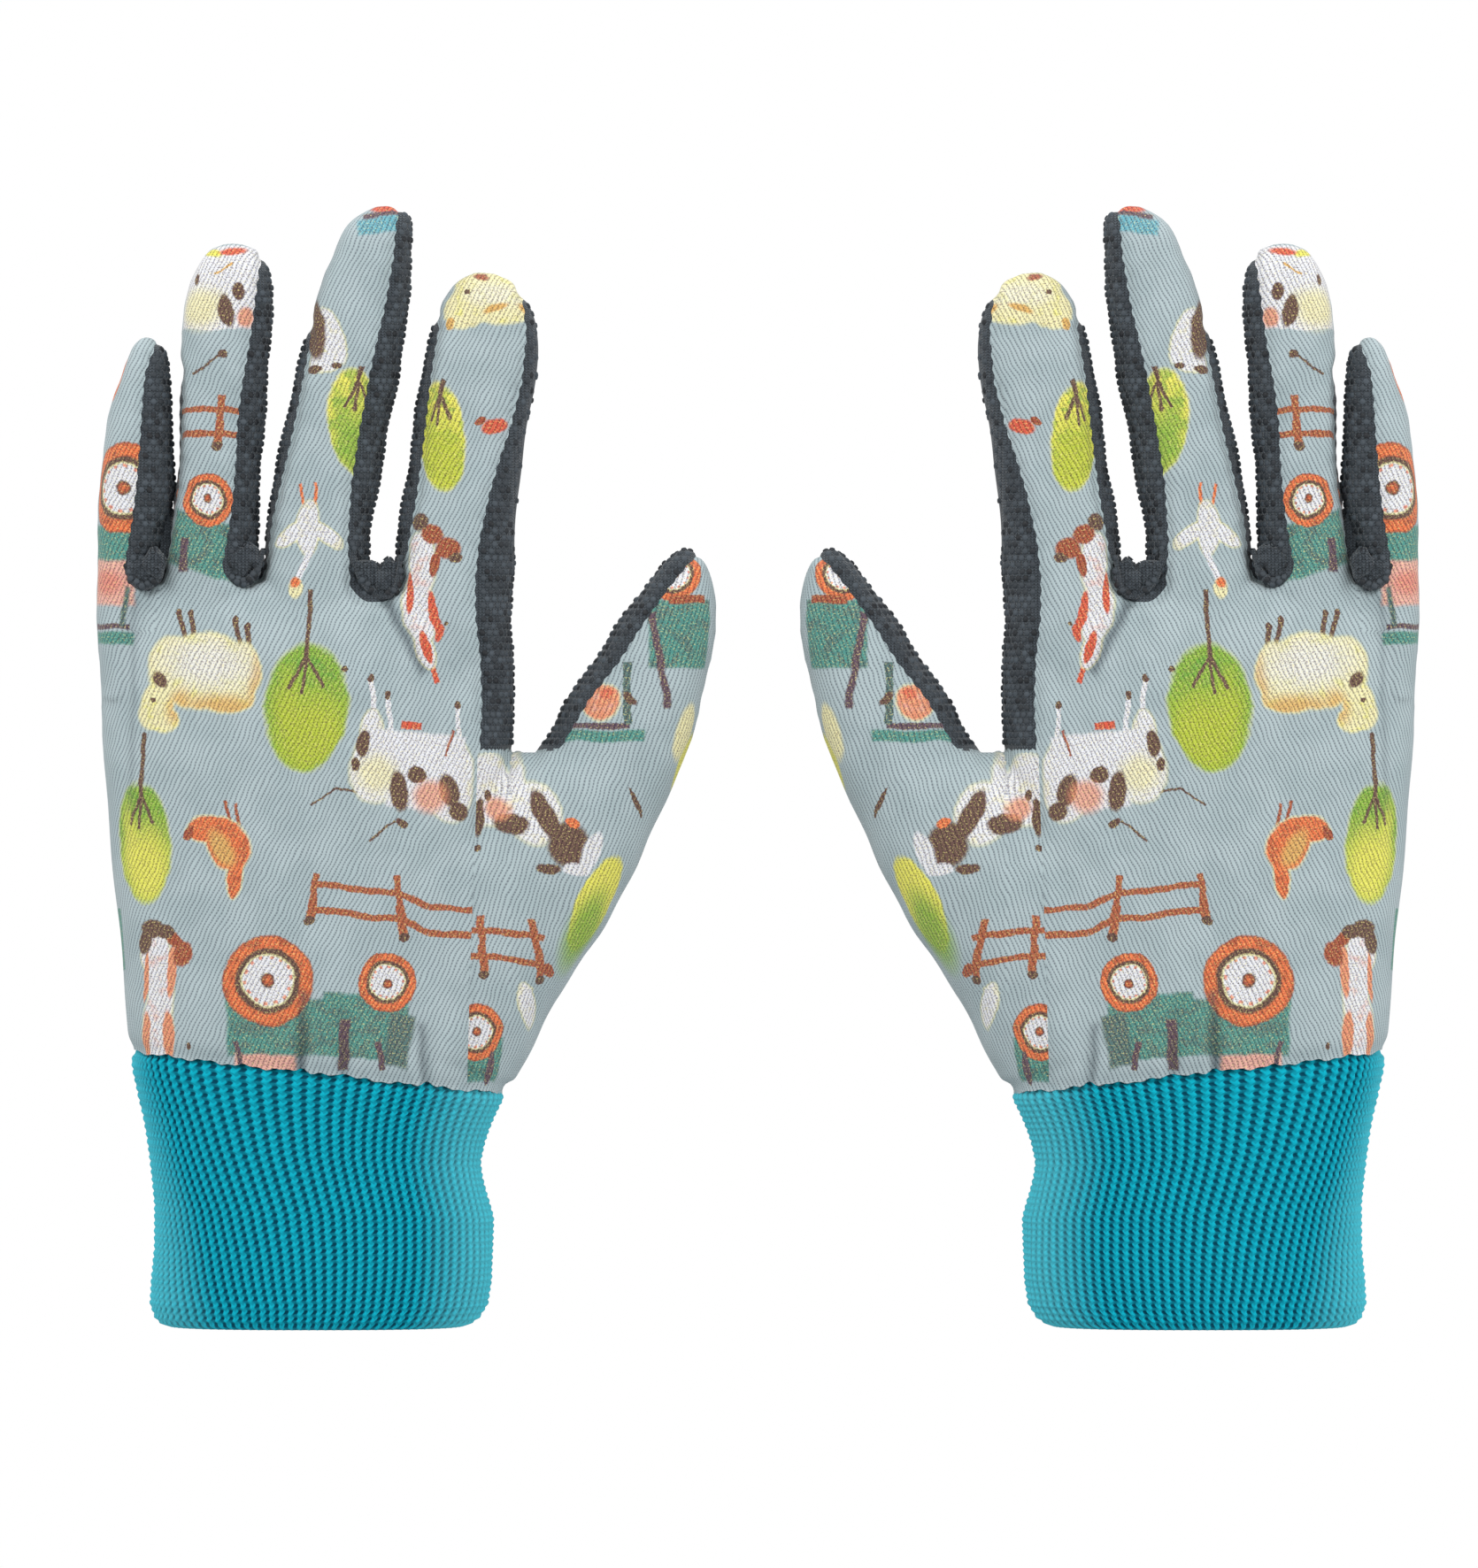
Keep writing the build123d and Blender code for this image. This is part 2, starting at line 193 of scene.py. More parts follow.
def densify(rows, step):
    """Sections interpolated smoothly along a table's first column."""
    rows = table(rows)
    key = np.concatenate([[0], np.cumsum(np.maximum(np.abs(np.diff(rows[:, 0])), 0.4))])
    fine = np.linspace(0, key[-1], max(int(key[-1] / step), 8))
    out = np.empty((len(fine), rows.shape[1]))
    slope = np.gradient(rows, key, axis=0)
    for i, s in enumerate(fine):
        k = min(np.searchsorted(key, s, side="right") - 1, len(key) - 2)
        h = key[k + 1] - key[k]
        t = (s - key[k]) / h
        out[i] = ((1 + 2 * t) * (1 - t) ** 2 * rows[k] + t * (1 - t) ** 2 * h * slope[k]
                  + t * t * (3 - 2 * t) * rows[k + 1] + t * t * (t - 1) * h * slope[k + 1])
    return out


def loft(sections, power, count):
    """A closed tube through sections of (centre, across, half width, half depth, centre y)."""
    verts, faces = [], []
    for centre, across, a, b, y0 in sections:
        u, v = superellipse(a, b, power, count)
        ring = np.stack([centre[0] + across[0] * u, y0 + v, centre[1] + across[1] * u], axis=1)
        verts.append(ring)
    rings = len(verts)
    verts = np.concatenate(verts)
    for r in range(rings - 1):
        for k in range(count):
            n = (k + 1) % count
            faces.append((r * count + k, r * count + n, (r + 1) * count + n, (r + 1) * count + k))
    faces.append(tuple(reversed(range(count))))
    faces.append(tuple(range((rings - 1) * count, rings * count)))
    return verts, faces


def as_mesh(name, verts, faces):
    mesh = bpy.data.meshes.new(name)
    mesh.from_pydata([tuple(v) for v in verts], [], faces)
    mesh.validate()
    return mesh


def triangles(mesh):
    """A mesh's vertices and triangles as arrays."""
    verts = np.empty(len(mesh.vertices) * 3, np.float32)
    mesh.vertices.foreach_get("co", verts)
    mesh.calc_loop_triangles()
    tris = np.empty(len(mesh.loop_triangles) * 3, np.int32)
    mesh.loop_triangles.foreach_get("vertices", tris)
    return verts.reshape(-1, 3).astype(float), tris.reshape(-1, 3)


def normals_of(verts, tris):
    """Unit normals at the vertices, weighted by area."""
    n = np.cross(verts[tris[:, 1]] - verts[tris[:, 0]], verts[tris[:, 2]] - verts[tris[:, 0]])
    out = np.zeros_like(verts)
    for k in range(3):
        np.add.at(out, tris[:, k], n)
    return out / np.maximum(np.linalg.norm(out, axis=1, keepdims=True), 1e-12)


def edges_of(tris):
    e = np.concatenate([tris[:, [0, 1]], tris[:, [1, 2]], tris[:, [2, 0]]])
    return np.unique(np.sort(e, axis=1), axis=0)


def neighbour_mean(v, edges):
    """The mean of a value over each vertex's neighbours."""
    count = np.bincount(edges.ravel(), minlength=len(v))
    total = np.zeros_like(v)
    np.add.at(total, edges[:, 0], v[edges[:, 1]])
    np.add.at(total, edges[:, 1], v[edges[:, 0]])
    return total / (count[:, None] if v.ndim == 2 else count)


def smooth(verts, edges, rounds):
    """Taubin smoothing, which rounds creases and keeps the volume."""
    v = verts.copy()
    for _ in range(rounds):
        for factor in (0.5, -0.53):
            v = v + factor * (neighbour_mean(v, edges) - v)
    return v


class Cloth:
    """A triangle mesh with normals and two map coordinates at each vertex, in millimetres."""

    def __init__(self, verts, normals, uv, tris):
        self.verts, self.normals, self.uv, self.tris = verts, normals, uv, tris

    def select(self, keep):
        tris = self.tris[keep]
        used, inverse = np.unique(tris, return_inverse=True)
        return Cloth(self.verts[used], self.normals[used], self.uv[used], inverse.reshape(-1, 3))

    def cut(self, g):
        """Two pieces, where g is positive and where it is negative, with the triangles split along g = 0."""
        g = np.where(np.abs(g) < 1e-6, 1e-6, g)
        sign = g[self.tris] > 0
        mixed = sign.any(axis=1) & ~sign.all(axis=1)
        whole_pos, whole_neg = self.tris[sign.all(axis=1)], self.tris[~sign.any(axis=1)]
        tris, s = self.tris[mixed], sign[mixed]
        odd = np.where(s.sum(axis=1) == 1, np.argmax(s, axis=1), np.argmin(s, axis=1))
        a = tris[np.arange(len(tris)), odd]
        b = tris[np.arange(len(tris)), (odd + 1) % 3]
        c = tris[np.arange(len(tris)), (odd + 2) % 3]
        pairs = np.concatenate([np.stack([a, b], 1), np.stack([a, c], 1)])
        keys, inverse = np.unique(np.sort(pairs, axis=1), axis=0, return_inverse=True)
        inverse = inverse.ravel()
        t = (g[keys[:, 0]] / (g[keys[:, 0]] - g[keys[:, 1]]))[:, None]
        mix = lambda values: values[keys[:, 0]] * (1 - t) + values[keys[:, 1]] * t
        new = mix(self.normals)
        new /= np.linalg.norm(new, axis=1, keepdims=True)
        verts = np.concatenate([self.verts, mix(self.verts)])
        normals = np.concatenate([self.normals, new])
        uv = np.concatenate([self.uv, mix(self.uv)])
        ab = len(self.verts) + inverse[: len(tris)]
        ac = len(self.verts) + inverse[len(tris):]
        lone = np.stack([a, ab, ac], 1)
        rest = np.concatenate([np.stack([ab, b, c], 1), np.stack([ab, c, ac], 1)])
        lone_pos = g[a] > 0
        double = np.concatenate([lone_pos, lone_pos])
        pos = np.concatenate([whole_pos, lone[lone_pos], rest[~double]])
        neg = np.concatenate([whole_neg, lone[~lone_pos], rest[double]])
        every = Cloth(verts, normals, uv, np.concatenate([pos, neg]))
        return every.select(slice(0, len(pos))), every.select(slice(len(pos), None))

    def join(self, other):
        return Cloth(
            np.concatenate([self.verts, other.verts]), np.concatenate([self.normals, other.normals]),
            np.concatenate([self.uv, other.uv]), np.concatenate([self.tris, other.tris + len(self.verts)]),
        )

    def thick(self, t=CLOTH):
        """The same piece with an inner face and closed edges."""
        n = len(self.verts)
        directed = np.concatenate([self.tris[:, [0, 1]], self.tris[:, [1, 2]], self.tris[:, [2, 0]]])
        code = directed[:, 0].astype(np.int64) * n + directed[:, 1]
        back = directed[:, 1].astype(np.int64) * n + directed[:, 0]
        rim = directed[~np.isin(code, back)]
        inner = self.tris[:, ::-1] + n
        a, b = rim[:, 0], rim[:, 1]
        side = np.concatenate([np.stack([b, a, a + n], 1), np.stack([b, a + n, b + n], 1)])
        return Cloth(
            np.concatenate([self.verts, self.verts - self.normals * t]),
            np.concatenate([self.normals, -self.normals]),
            np.concatenate([self.uv, self.uv]), np.concatenate([self.tris, inner, side]),
        )


def place(name, cloth, side, material, slot):
    """A Blender object for one piece of the left or the right glove."""
    verts = cloth.verts.copy()
    normals = cloth.normals.copy()
    tris = cloth.tris
    verts[:, 0] -= HALF
    if side == "right":
        verts[:, 0] *= -1
        normals[:, 0] *= -1
        tris = tris[:, ::-1]
    mesh = bpy.data.meshes.new(f"{side}_{name}")
    mesh.vertices.add(len(verts))
    mesh.vertices.foreach_set("co", (verts * MM).astype(np.float32).ravel())
    mesh.loops.add(len(tris) * 3)
    mesh.loops.foreach_set("vertex_index", tris.astype(np.int32).ravel())
    mesh.polygons.add(len(tris))
    mesh.polygons.foreach_set("loop_start", np.arange(0, len(tris) * 3, 3, dtype=np.int32))
    mesh.polygons.foreach_set("loop_total", np.full(len(tris), 3, np.int32))
    layer = mesh.uv_layers.new(name="cloth")
    layer.data.foreach_set("uv", (cloth.uv[tris.ravel(), :2] * MM * 10).astype(np.float32).ravel())
    mesh.update(calc_edges=True)
    mesh.shade_smooth()
    mesh.normals_split_custom_set_from_vertices(normals.astype(np.float32))
    obj = bpy.data.objects.new(f"{side}_{name}", mesh)
    bpy.context.scene.collection.objects.link(obj)
    mesh.materials.append(material)
    return obj


# ------------------------------------------------------------------ the hand's surface


def level_sections(rows, step, lean=0.0):
    """Level sections through a table, the lower ones shifted by lean towards the back of the hand."""
    out = []
    for z, left, right, depth in densify(rows, step):
        y0 = -lean * np.clip((140 - z) / 25, 0, 1)
        out.append((((left + right) / 2, z), (1, 0), (right - left) / 2, depth / 2, y0))
    return out


def thumb_sections():
    flat = [(zi, xi, zo, xo, d) for (xi, zi), (xo, zo), d in THUMB]
    out = []
    for zi, xi, zo, xo, d in densify(flat, 1.2):
        wide = sqrt((xo - xi) ** 2 + (zo - zi) ** 2)
        across = ((xo - xi) / wide, (zo - zi) / wide)
        out.append((((xi + xo) / 2, (zi + zo) / 2), across, wide / 2, d / 2, 0.0))
    return out


def union_surface():
    """One closed skin over the palm, the fingers and the thumb, with its creases softened."""
    verts, faces = [], []
    parts = [(level_sections(HAND, 1.5), HAND_POWER, 96), (thumb_sections(), 2.25, 64)]
    parts += [(level_sections(WEB, 1.0), 2.4, 40)]
    parts += [(level_sections(rows, 1.0, FINGER_LEAN), 2.35, 56) for rows in FINGERS.values()]
    start = 0
    for sections, power, count in parts:
        v, f = loft(sections, power, count)
        verts.append(v)
        faces += [tuple(i + start for i in face) for face in f]
        start += len(v)
    mesh = as_mesh("union", np.concatenate(verts), faces)
    obj = bpy.data.objects.new("union", mesh)
    bpy.context.scene.collection.objects.link(obj)
    remesh = obj.modifiers.new("voxel", "REMESH")
    remesh.mode = "VOXEL"
    remesh.voxel_size = VOXEL
    result = bpy.data.meshes.new_from_object(obj.evaluated_get(bpy.context.evaluated_depsgraph_get()))
    out = triangles(result)
    bpy.data.objects.remove(obj)
    bpy.data.meshes.remove(result)
    bpy.data.meshes.remove(mesh)
    return out


def lookup(rows, z, column=1):
    rows = sorted(rows)
    return np.interp(z, [r[0] for r in rows], [r[column] for r in rows])


def seam_x(z):
    """Where the thumb panel's seam runs at a height."""
    return THUMB_SEAM_X + 0.03 * np.clip(z - 80, -40, 25)


def thumb_distance(x, z):
    """Distance in from the thumb's inner line."""
    inner = sorted((zi, xi) for (xi, zi), _, _ in THUMB)
    slope = np.interp(z, [100, 118, 140], [0.45, 0.64, 0.68])
    return (x - np.interp(z, [p[0] for p in inner], [p[1] for p in inner])) / np.sqrt(1 + slope**2)


def thumb_border(z):
    """Where the thumb begins above its crotch."""
    return 36.4 + np.clip(z - 118, 0, 30) * 0.3


def beside(rows, x, z):
    """How far a point lies outside a finger's sides, going by the front view."""
    left, right = lookup(rows, z, 1), lookup(rows, z, 2)
    return np.abs(x - (left + right) / 2) - (right - left) / 2


def print_distance(v):
    """Positive where the printed back is, negative on the dotted front, about in millimetres."""
    x, y, z = v[:, 0], v[:, 1], v[:, 2]
    hand = np.minimum(137 - z, np.where(z > CROTCH_Z, lookup(EDGE_RIGHT["index"], z) - x, 60))
    for xc, zc, half, tall in CROTCHES:
        hand = np.minimum(hand, np.hypot(x - xc, np.minimum(z - zc, 0) / tall) - half)
    best = np.maximum(hand, CROTCH_Z - z)
    owner = np.argmin([beside(rows, x, z) for rows in FINGERS.values()], axis=0)
    for k, name in enumerate(FINGERS):
        inside = np.minimum(x - lookup(EDGE_LEFT[name], z), lookup(EDGE_RIGHT[name], z) - x)
        best = np.where(owner == k, np.maximum(best, np.minimum(inside, z - 119)), best)
    thumb = np.minimum(thumb_distance(x, z) - THUMB_STRIP, z - 90)
    thumb = np.where((x > 37.5) & (z < 145), thumb, -20)
    best = np.maximum(best, thumb)
    ripple = 0.16 * np.sin(2 * pi * (z + 0.4 * x) / STITCH) * np.clip((z - 60) / 20, 0, 1)
    return np.minimum(best + ripple, WRAP - y)


def nearest_limb(v):
    """The limb each vertex is on, by the front view: its centre line, half width, half depth and top."""
    x, z = v[:, 0], v[:, 2]
    hand = sorted(HAND)
    cx = np.full(len(v), -3.0)
    half = np.interp(z, [r[0] for r in hand], [(r[2] - r[1]) / 2 for r in hand])
    depth = np.interp(z, [r[0] for r in hand], [r[3] / 2 for r in hand])
    top = np.full(len(v), 400.0)
    thumb_x = 30 + (z - 70) * 0.49
    on_thumb = (x > 34.2) & (z > 60)
    cx = np.where(on_thumb, thumb_x, cx)
    half = np.where(on_thumb, np.interp(z, [60, 100, 125, 140], [16, 13, 8.5, 5]), half)
    depth = np.where(on_thumb, np.interp(z, [60, 90, 110, 131, 140], [15, 11, 9, 7.2, 4]), depth)
    top = np.where(on_thumb, 140.0, top)
    taken = on_thumb | (z < 124)
    best = np.full(len(v), 1e9)
    for rows in FINGERS.values():
        left, right, deep = lookup(rows, z, 1), lookup(rows, z, 2), lookup(rows, z, 3)
        centre, h = (left + right) / 2, (right - left) / 2
        away = np.abs(x - centre) - h
        use = (~taken) & (away < best)
        best = np.where(use, away, best)
        blend = np.clip((z - 124) / 10, 0, 1)
        cx = np.where(use, centre, cx)
        half = np.where(use, h, half)
        depth = np.where(use, depth * (1 - blend) + deep / 2 * blend, depth)
        top = np.where(use, max(r[0] for r in rows), top)
    return cx, half, depth, top


def map_coordinates(v):
    """The cloth unrolled: across and up, in millimetres, matching the front view where the cloth faces it."""
    cx, half, depth, top = nearest_limb(v)
    x, y, z = v[:, 0], v[:, 1], v[:, 2]
    round_in = np.where(y < 0, y + depth, depth - y)
    shift = 0.57 * np.clip(round_in, 0, None) ** 2 / np.maximum(depth, 2)
    side = np.clip((x - cx) / (0.55 * half), -1, 1)
    over = np.clip((z - top + depth) / np.maximum(depth, 1), 0, 1)
    return np.stack([x + shift * side * (1 - over), z + shift * over], axis=1)


def surface_relief(v, n, f):
    """How far the cloth stands out or in along its normal: seams, gathers and soft wrinkles."""
    x, z = v[:, 0], v[:, 2]
    front = np.clip(-n[:, 1] * 1.6, 0, 1)
    out = -0.6 * np.exp(-((f / 0.7) ** 2)) + 0.25 * np.exp(-(((f - 2.2) / 1.5) ** 2))
    seam = (x - seam_x(z)) + 0.10 * np.sin(2 * pi * z / STITCH)
    on_seam = np.clip((CROTCH_Z - z) / 1.5, 0, 1)
    out += on_seam * (-0.55 * np.exp(-((seam / 0.55) ** 2)) + 0.18 * np.exp(-(((seam + 1.3) / 0.8) ** 2)))
    base = z - (CUFF_Z - x * CUFF_SLOPE)
    hem = np.clip(1 - base / 16, 0, 1) * (base > -3)
    out += -0.9 * np.exp(-((base / 1.6) ** 2))
    for at, lean, wide, deep, tall in PLEAT_SHAPES:
        fold = (x - at - lean * base / tall) / (wide * (1 + 0.09 * base))
        fade = np.clip(1 - base / tall, 0, 1)
        out += -deep * np.exp(-(fold**2)) * fade * np.clip(0.2 + base / 4, 0, 1) * front
        out += 0.35 * deep * np.exp(-((np.abs(fold) - 2.1) ** 2)) * fade * front
    out += 0.35 * hem * np.sin(x * 0.85 + 1.0) * front
    for (x0, z0), (x1, z1), deep, wide in PULLS:
        run = np.hypot(x1 - x0, z1 - z0)
        t = ((x - x0) * (x1 - x0) + (z - z0) * (z1 - z0)) / run**2
        d = ((x - x0) * (z1 - z0) - (z - z0) * (x1 - x0)) / run
        valley = np.exp(-((d / (wide * (0.7 + np.clip(t, 0, 1)))) ** 2))
        out += -deep * valley * np.clip(1.15 - t, 0, 1) * (t > -0.2) * front
    # soft unevenness of filled cloth
    out += 0.22 * np.sin(x * 0.21 + 0.9) * np.sin(z * 0.13 + 0.4) + 0.12 * np.sin(x * 0.47 + z * 0.31)
    out += 0.08 * np.sin(x * 0.9 - z * 0.55 + 1.3) * np.clip(np.abs(n[:, 1]) * 1.5, 0, 1)
    # the little finger leans on its neighbour
    meet = np.interp(z, [134, 150], [-28.4, -26.2])
    slit = np.exp(-(((x - meet) / 1.5) ** 2)) * np.abs(n[:, 0])
    slit = slit * np.clip((z - 122) / 6, 0, 1) * np.clip((162 - z) / 12, 0, 1)
    out += 0.75 * slit
    # puckers beside the finger seams
    near = np.exp(-(((f - 1.4) / 1.3) ** 2)) * np.clip((z - 100) / 10, 0, 1)
    out += 0.10 * near * np.sin(2 * pi * (z + 0.4 * x) / (2 * STITCH))
    return out


verts, tris = union_surface()
links = edges_of(tris)
verts = smooth(verts, links, 9)
normal = normals_of(verts, tris)
relief = surface_relief(verts, normal, print_distance(verts))
relief = 0.5 * relief + 0.5 * neighbour_mean(relief, links)
verts = verts + normal * relief[:, None]
normal = normals_of(verts, tris)
skin = Cloth(verts, normal, map_coordinates(verts), tris)


# ------------------------------------------------------------------ materials


class Graph:
    """Short names for building a node tree."""

    def __init__(self, tree):
        self.tree = tree

    def node(self, kind, inputs=(), **settings):
        n = self.tree.nodes.new(kind)
        for key, value in settings.items():
            setattr(n, key, value)
        self.fill(n, inputs)
        return n

    def fill(self, node, inputs):
        for key, value in dict(inputs).items():
            self.put(node.inputs[key], value)

    def put(self, socket, value):
        if isinstance(value, bpy.types.NodeSocket):
            self.tree.links.new(value, socket)
        elif hasattr(socket.default_value, "__len__") and not hasattr(value, "__len__"):
            socket.default_value = [value] * len(socket.default_value)
        else:
            socket.default_value = value

    def math(self, operation, *values, clamp=False):
        return self.node("ShaderNodeMath", enumerate(values), operation=operation, use_clamp=clamp).outputs[0]

    def vector(self, operation, *values):
        n = self.node("ShaderNodeVectorMath", enumerate(values), operation=operation)
        return n.outputs["Value" if operation in ("LENGTH", "DOT_PRODUCT", "DISTANCE") else "Vector"]

    def remap(self, value, a, b, c=0.0, d=1.0, kind="SMOOTHSTEP"):
        n = self.node("ShaderNodeMapRange", {0: value, 1: a, 2: b, 3: c, 4: d}, interpolation_type=kind)
        return n.outputs[0]

    def mix(self, factor, a, b, blend="MIX"):
        n = self.node("ShaderNodeMix", data_type="RGBA", blend_type=blend)
        self.put(n.inputs[0], factor)
        self.put(n.inputs[6], a)
        self.put(n.inputs[7], b)
        return n.outputs[2]

    def noise(self, vector, scale, detail=2.0, rough=0.5):
        settings = {"Vector": vector, "Scale": scale, "Detail": detail, "Roughness": rough}
        return self.node("ShaderNodeTexNoise", settings).outputs["Fac"]

    def combine(self, x, y, z=0.0):
        return self.node("ShaderNodeCombineXYZ", {0: x, 1: y, 2: z}).outputs[0]

    def split(self, vector):
        return self.node("ShaderNodeSeparateXYZ", {0: vector}).outputs


def rgb(r, g, b):
    """A colour from 0-255 display values, as linear light."""
    out = []
    for c in (r, g, b):
        c /= 255
        out.append(c / 12.92 if c <= 0.04045 else ((c + 0.055) / 1.055) ** 2.4)
    return (*out, 1.0)


def new_group(name, inputs, outputs):
    tree = bpy.data.node_groups.new(name, "ShaderNodeTree")
    for label, kind in inputs:
        tree.interface.new_socket(name=label, in_out="INPUT", socket_type=kind)
    for label, kind in outputs:
        tree.interface.new_socket(name=label, in_out="OUTPUT", socket_type=kind)
    g = Graph(tree)
    source = tree.nodes.new("NodeGroupInput")
    sink = tree.nodes.new("NodeGroupOutput")
    return g, source.outputs, sink.inputs


def shape_group(name, box):
    """A soft-edged oval or bar: mask of P inside a shape at Centre with half sizes Radii, turned by Angle."""
    g, i, o = new_group(
        name,
        [("P", "NodeSocketVector"), ("Centre", "NodeSocketVector"), ("Radii", "NodeSocketVector"),
         ("Angle", "NodeSocketFloat"), ("Soft", "NodeSocketFloat")],
        [("Mask", "NodeSocketFloat")],
    )
    d = g.vector("SUBTRACT", i["P"], i["Centre"])
    turn = g.node("ShaderNodeVectorRotate", {"Vector": d, "Angle": i["Angle"]}, rotation_type="Z_AXIS")
    turned = turn.outputs[0]
    if box:
        q = g.split(g.vector("SUBTRACT", g.vector("ABSOLUTE", turned), i["Radii"]))
        far = g.math("MAXIMUM", q[0], q[1])
        mask = g.remap(far, i["Soft"], g.math("MULTIPLY", i["Soft"], -1.0))
    else:
        r = g.vector("LENGTH", g.vector("DIVIDE", turned, i["Radii"]))
        mask = g.remap(r, g.math("ADD", 1.0, i["Soft"]), g.math("SUBTRACT", 1.0, i["Soft"]))
    g.put(o["Mask"], mask)
    return g.tree


OVAL = shape_group("oval", False)
BAR = shape_group("bar", True)


class FarmShapes:
    """Plain farm shapes made of ovals and bars; where they stand follows the real cloth's print."""

    def along(self, x0, z0, x1, z1):
        """Centre, half length and angle of a bar from one point to another."""
        run = sqrt((x1 - x0) ** 2 + (z1 - z0) ** 2)
        return (x0 + x1) / 2, (z0 + z1) / 2, run / 2, -np.degrees(np.arctan2(z1 - z0, x1 - x0))

    def line(self, x0, z0, x1, z1, half, colour):
        x, z, reach, angle = self.along(x0, z0, x1, z1)
        self.bar(x, z, reach, half, colour, angle)

    def tree(self, x, z, rx, rz, colour, light, angle=0, stem=9.0):
        """A crown, narrower below, with its stem and three branches, growing downwards."""
        self.oval(x, z, rx + 0.3, rz + 0.3, HALO, angle, 0.06, 0.5)
        m = self.oval(x, z, rx, rz, colour, angle)
        self.within(m, 0.46, 0.6, GREEN_DEEP, 0.6)
        self.tint(m, x + rx * 0.15, z - rz * 0.45, rx * 0.95, rz * 0.7, light, angle, 0.6, 0.9)
        self.tint(m, x - rx * 0.5, z + rz * 0.1, rx * 0.3, rz * 0.5, light, angle, 0.6, 0.6)
        fork = z + rz * 0.8
        self.line(x, fork, x + 0.7, fork + rz * 0.2 + stem, 0.42, BROWN)
        for reach, drop in ((-0.45, 0.5), (-0.1, 0.58), (0.42, 0.48)):
            self.line(x, fork, x + rx * reach, z + rz * (0.8 - drop), 0.3, BROWN)

    def rails(self, points, gap):
        """Two bent fence rails through points."""
        for (x0, z0), (x1, z1) in zip(points, points[1:]):
            self.line(x0, z0, x1, z1, 0.55, RAIL)
            self.line(x0, z0 - gap, x1, z1 - gap, 0.6, RAIL)

    def post(self, x, z, tall, lean=0):
        self.bar(x, z, 0.62, tall, RAIL, lean)
        self.bar(x - lean * tall * 0.009, z - tall * 0.5, 0.78, tall * 0.5, RAIL, lean)
        self.oval(x - lean * tall * 0.017, z - tall, 1.0, 0.8, BROWN)

    def legs(self, colour, *ends):
        for x0, z0, x1, z1 in ends:
            self.line(x0, z0, x1, z1, 0.45, colour)
            self.oval(x1, z1, 0.55, 0.8, BROWN)

    def body(self, colour, shade, *ovals):
        """A body of overlapping ovals with a pale rim and soft shading."""
        for x, z, rx, rz, angle in ovals:
            self.oval(x, z, rx + 0.35, rz + 0.35, HALO, angle, 0.08, 0.6)
        whole = None
        for x, z, rx, rz, angle in ovals:
            m = self.oval(x, z, rx, rz, colour, angle, 0.08)
            self.within(m, 0.5, 0.68, shade, 0.6)
            whole = self.either(whole, m)
        return whole

    def patches(self, colour, *ovals):
        for x, z, rx, rz, angle in ovals:
            self.oval(x, z, rx, rz, colour, angle, 0.14)


def hand_folds():
    """Painted shade along the bottoms of the deepest folds: the two ends, half width and strength of each."""
    return [
        lambda p: p.fold(-3.0, 45.0, -2.2, 60.0, 0.5, 0.85),
        lambda p: (p.fold(4.9, 43.0, 4.6, 51.0, 0.4, 0.5), p.fold(19.6, 42.0, 18.6, 54.0, 0.4, 0.6)),
        lambda p: p.fold(12.2, 129.2, 18.8, 116.6, 0.7, 0.7),
        lambda p: p.fold(-32.6, 131.0, -34.2, 92.0, 0.5, 0.3),
    ]


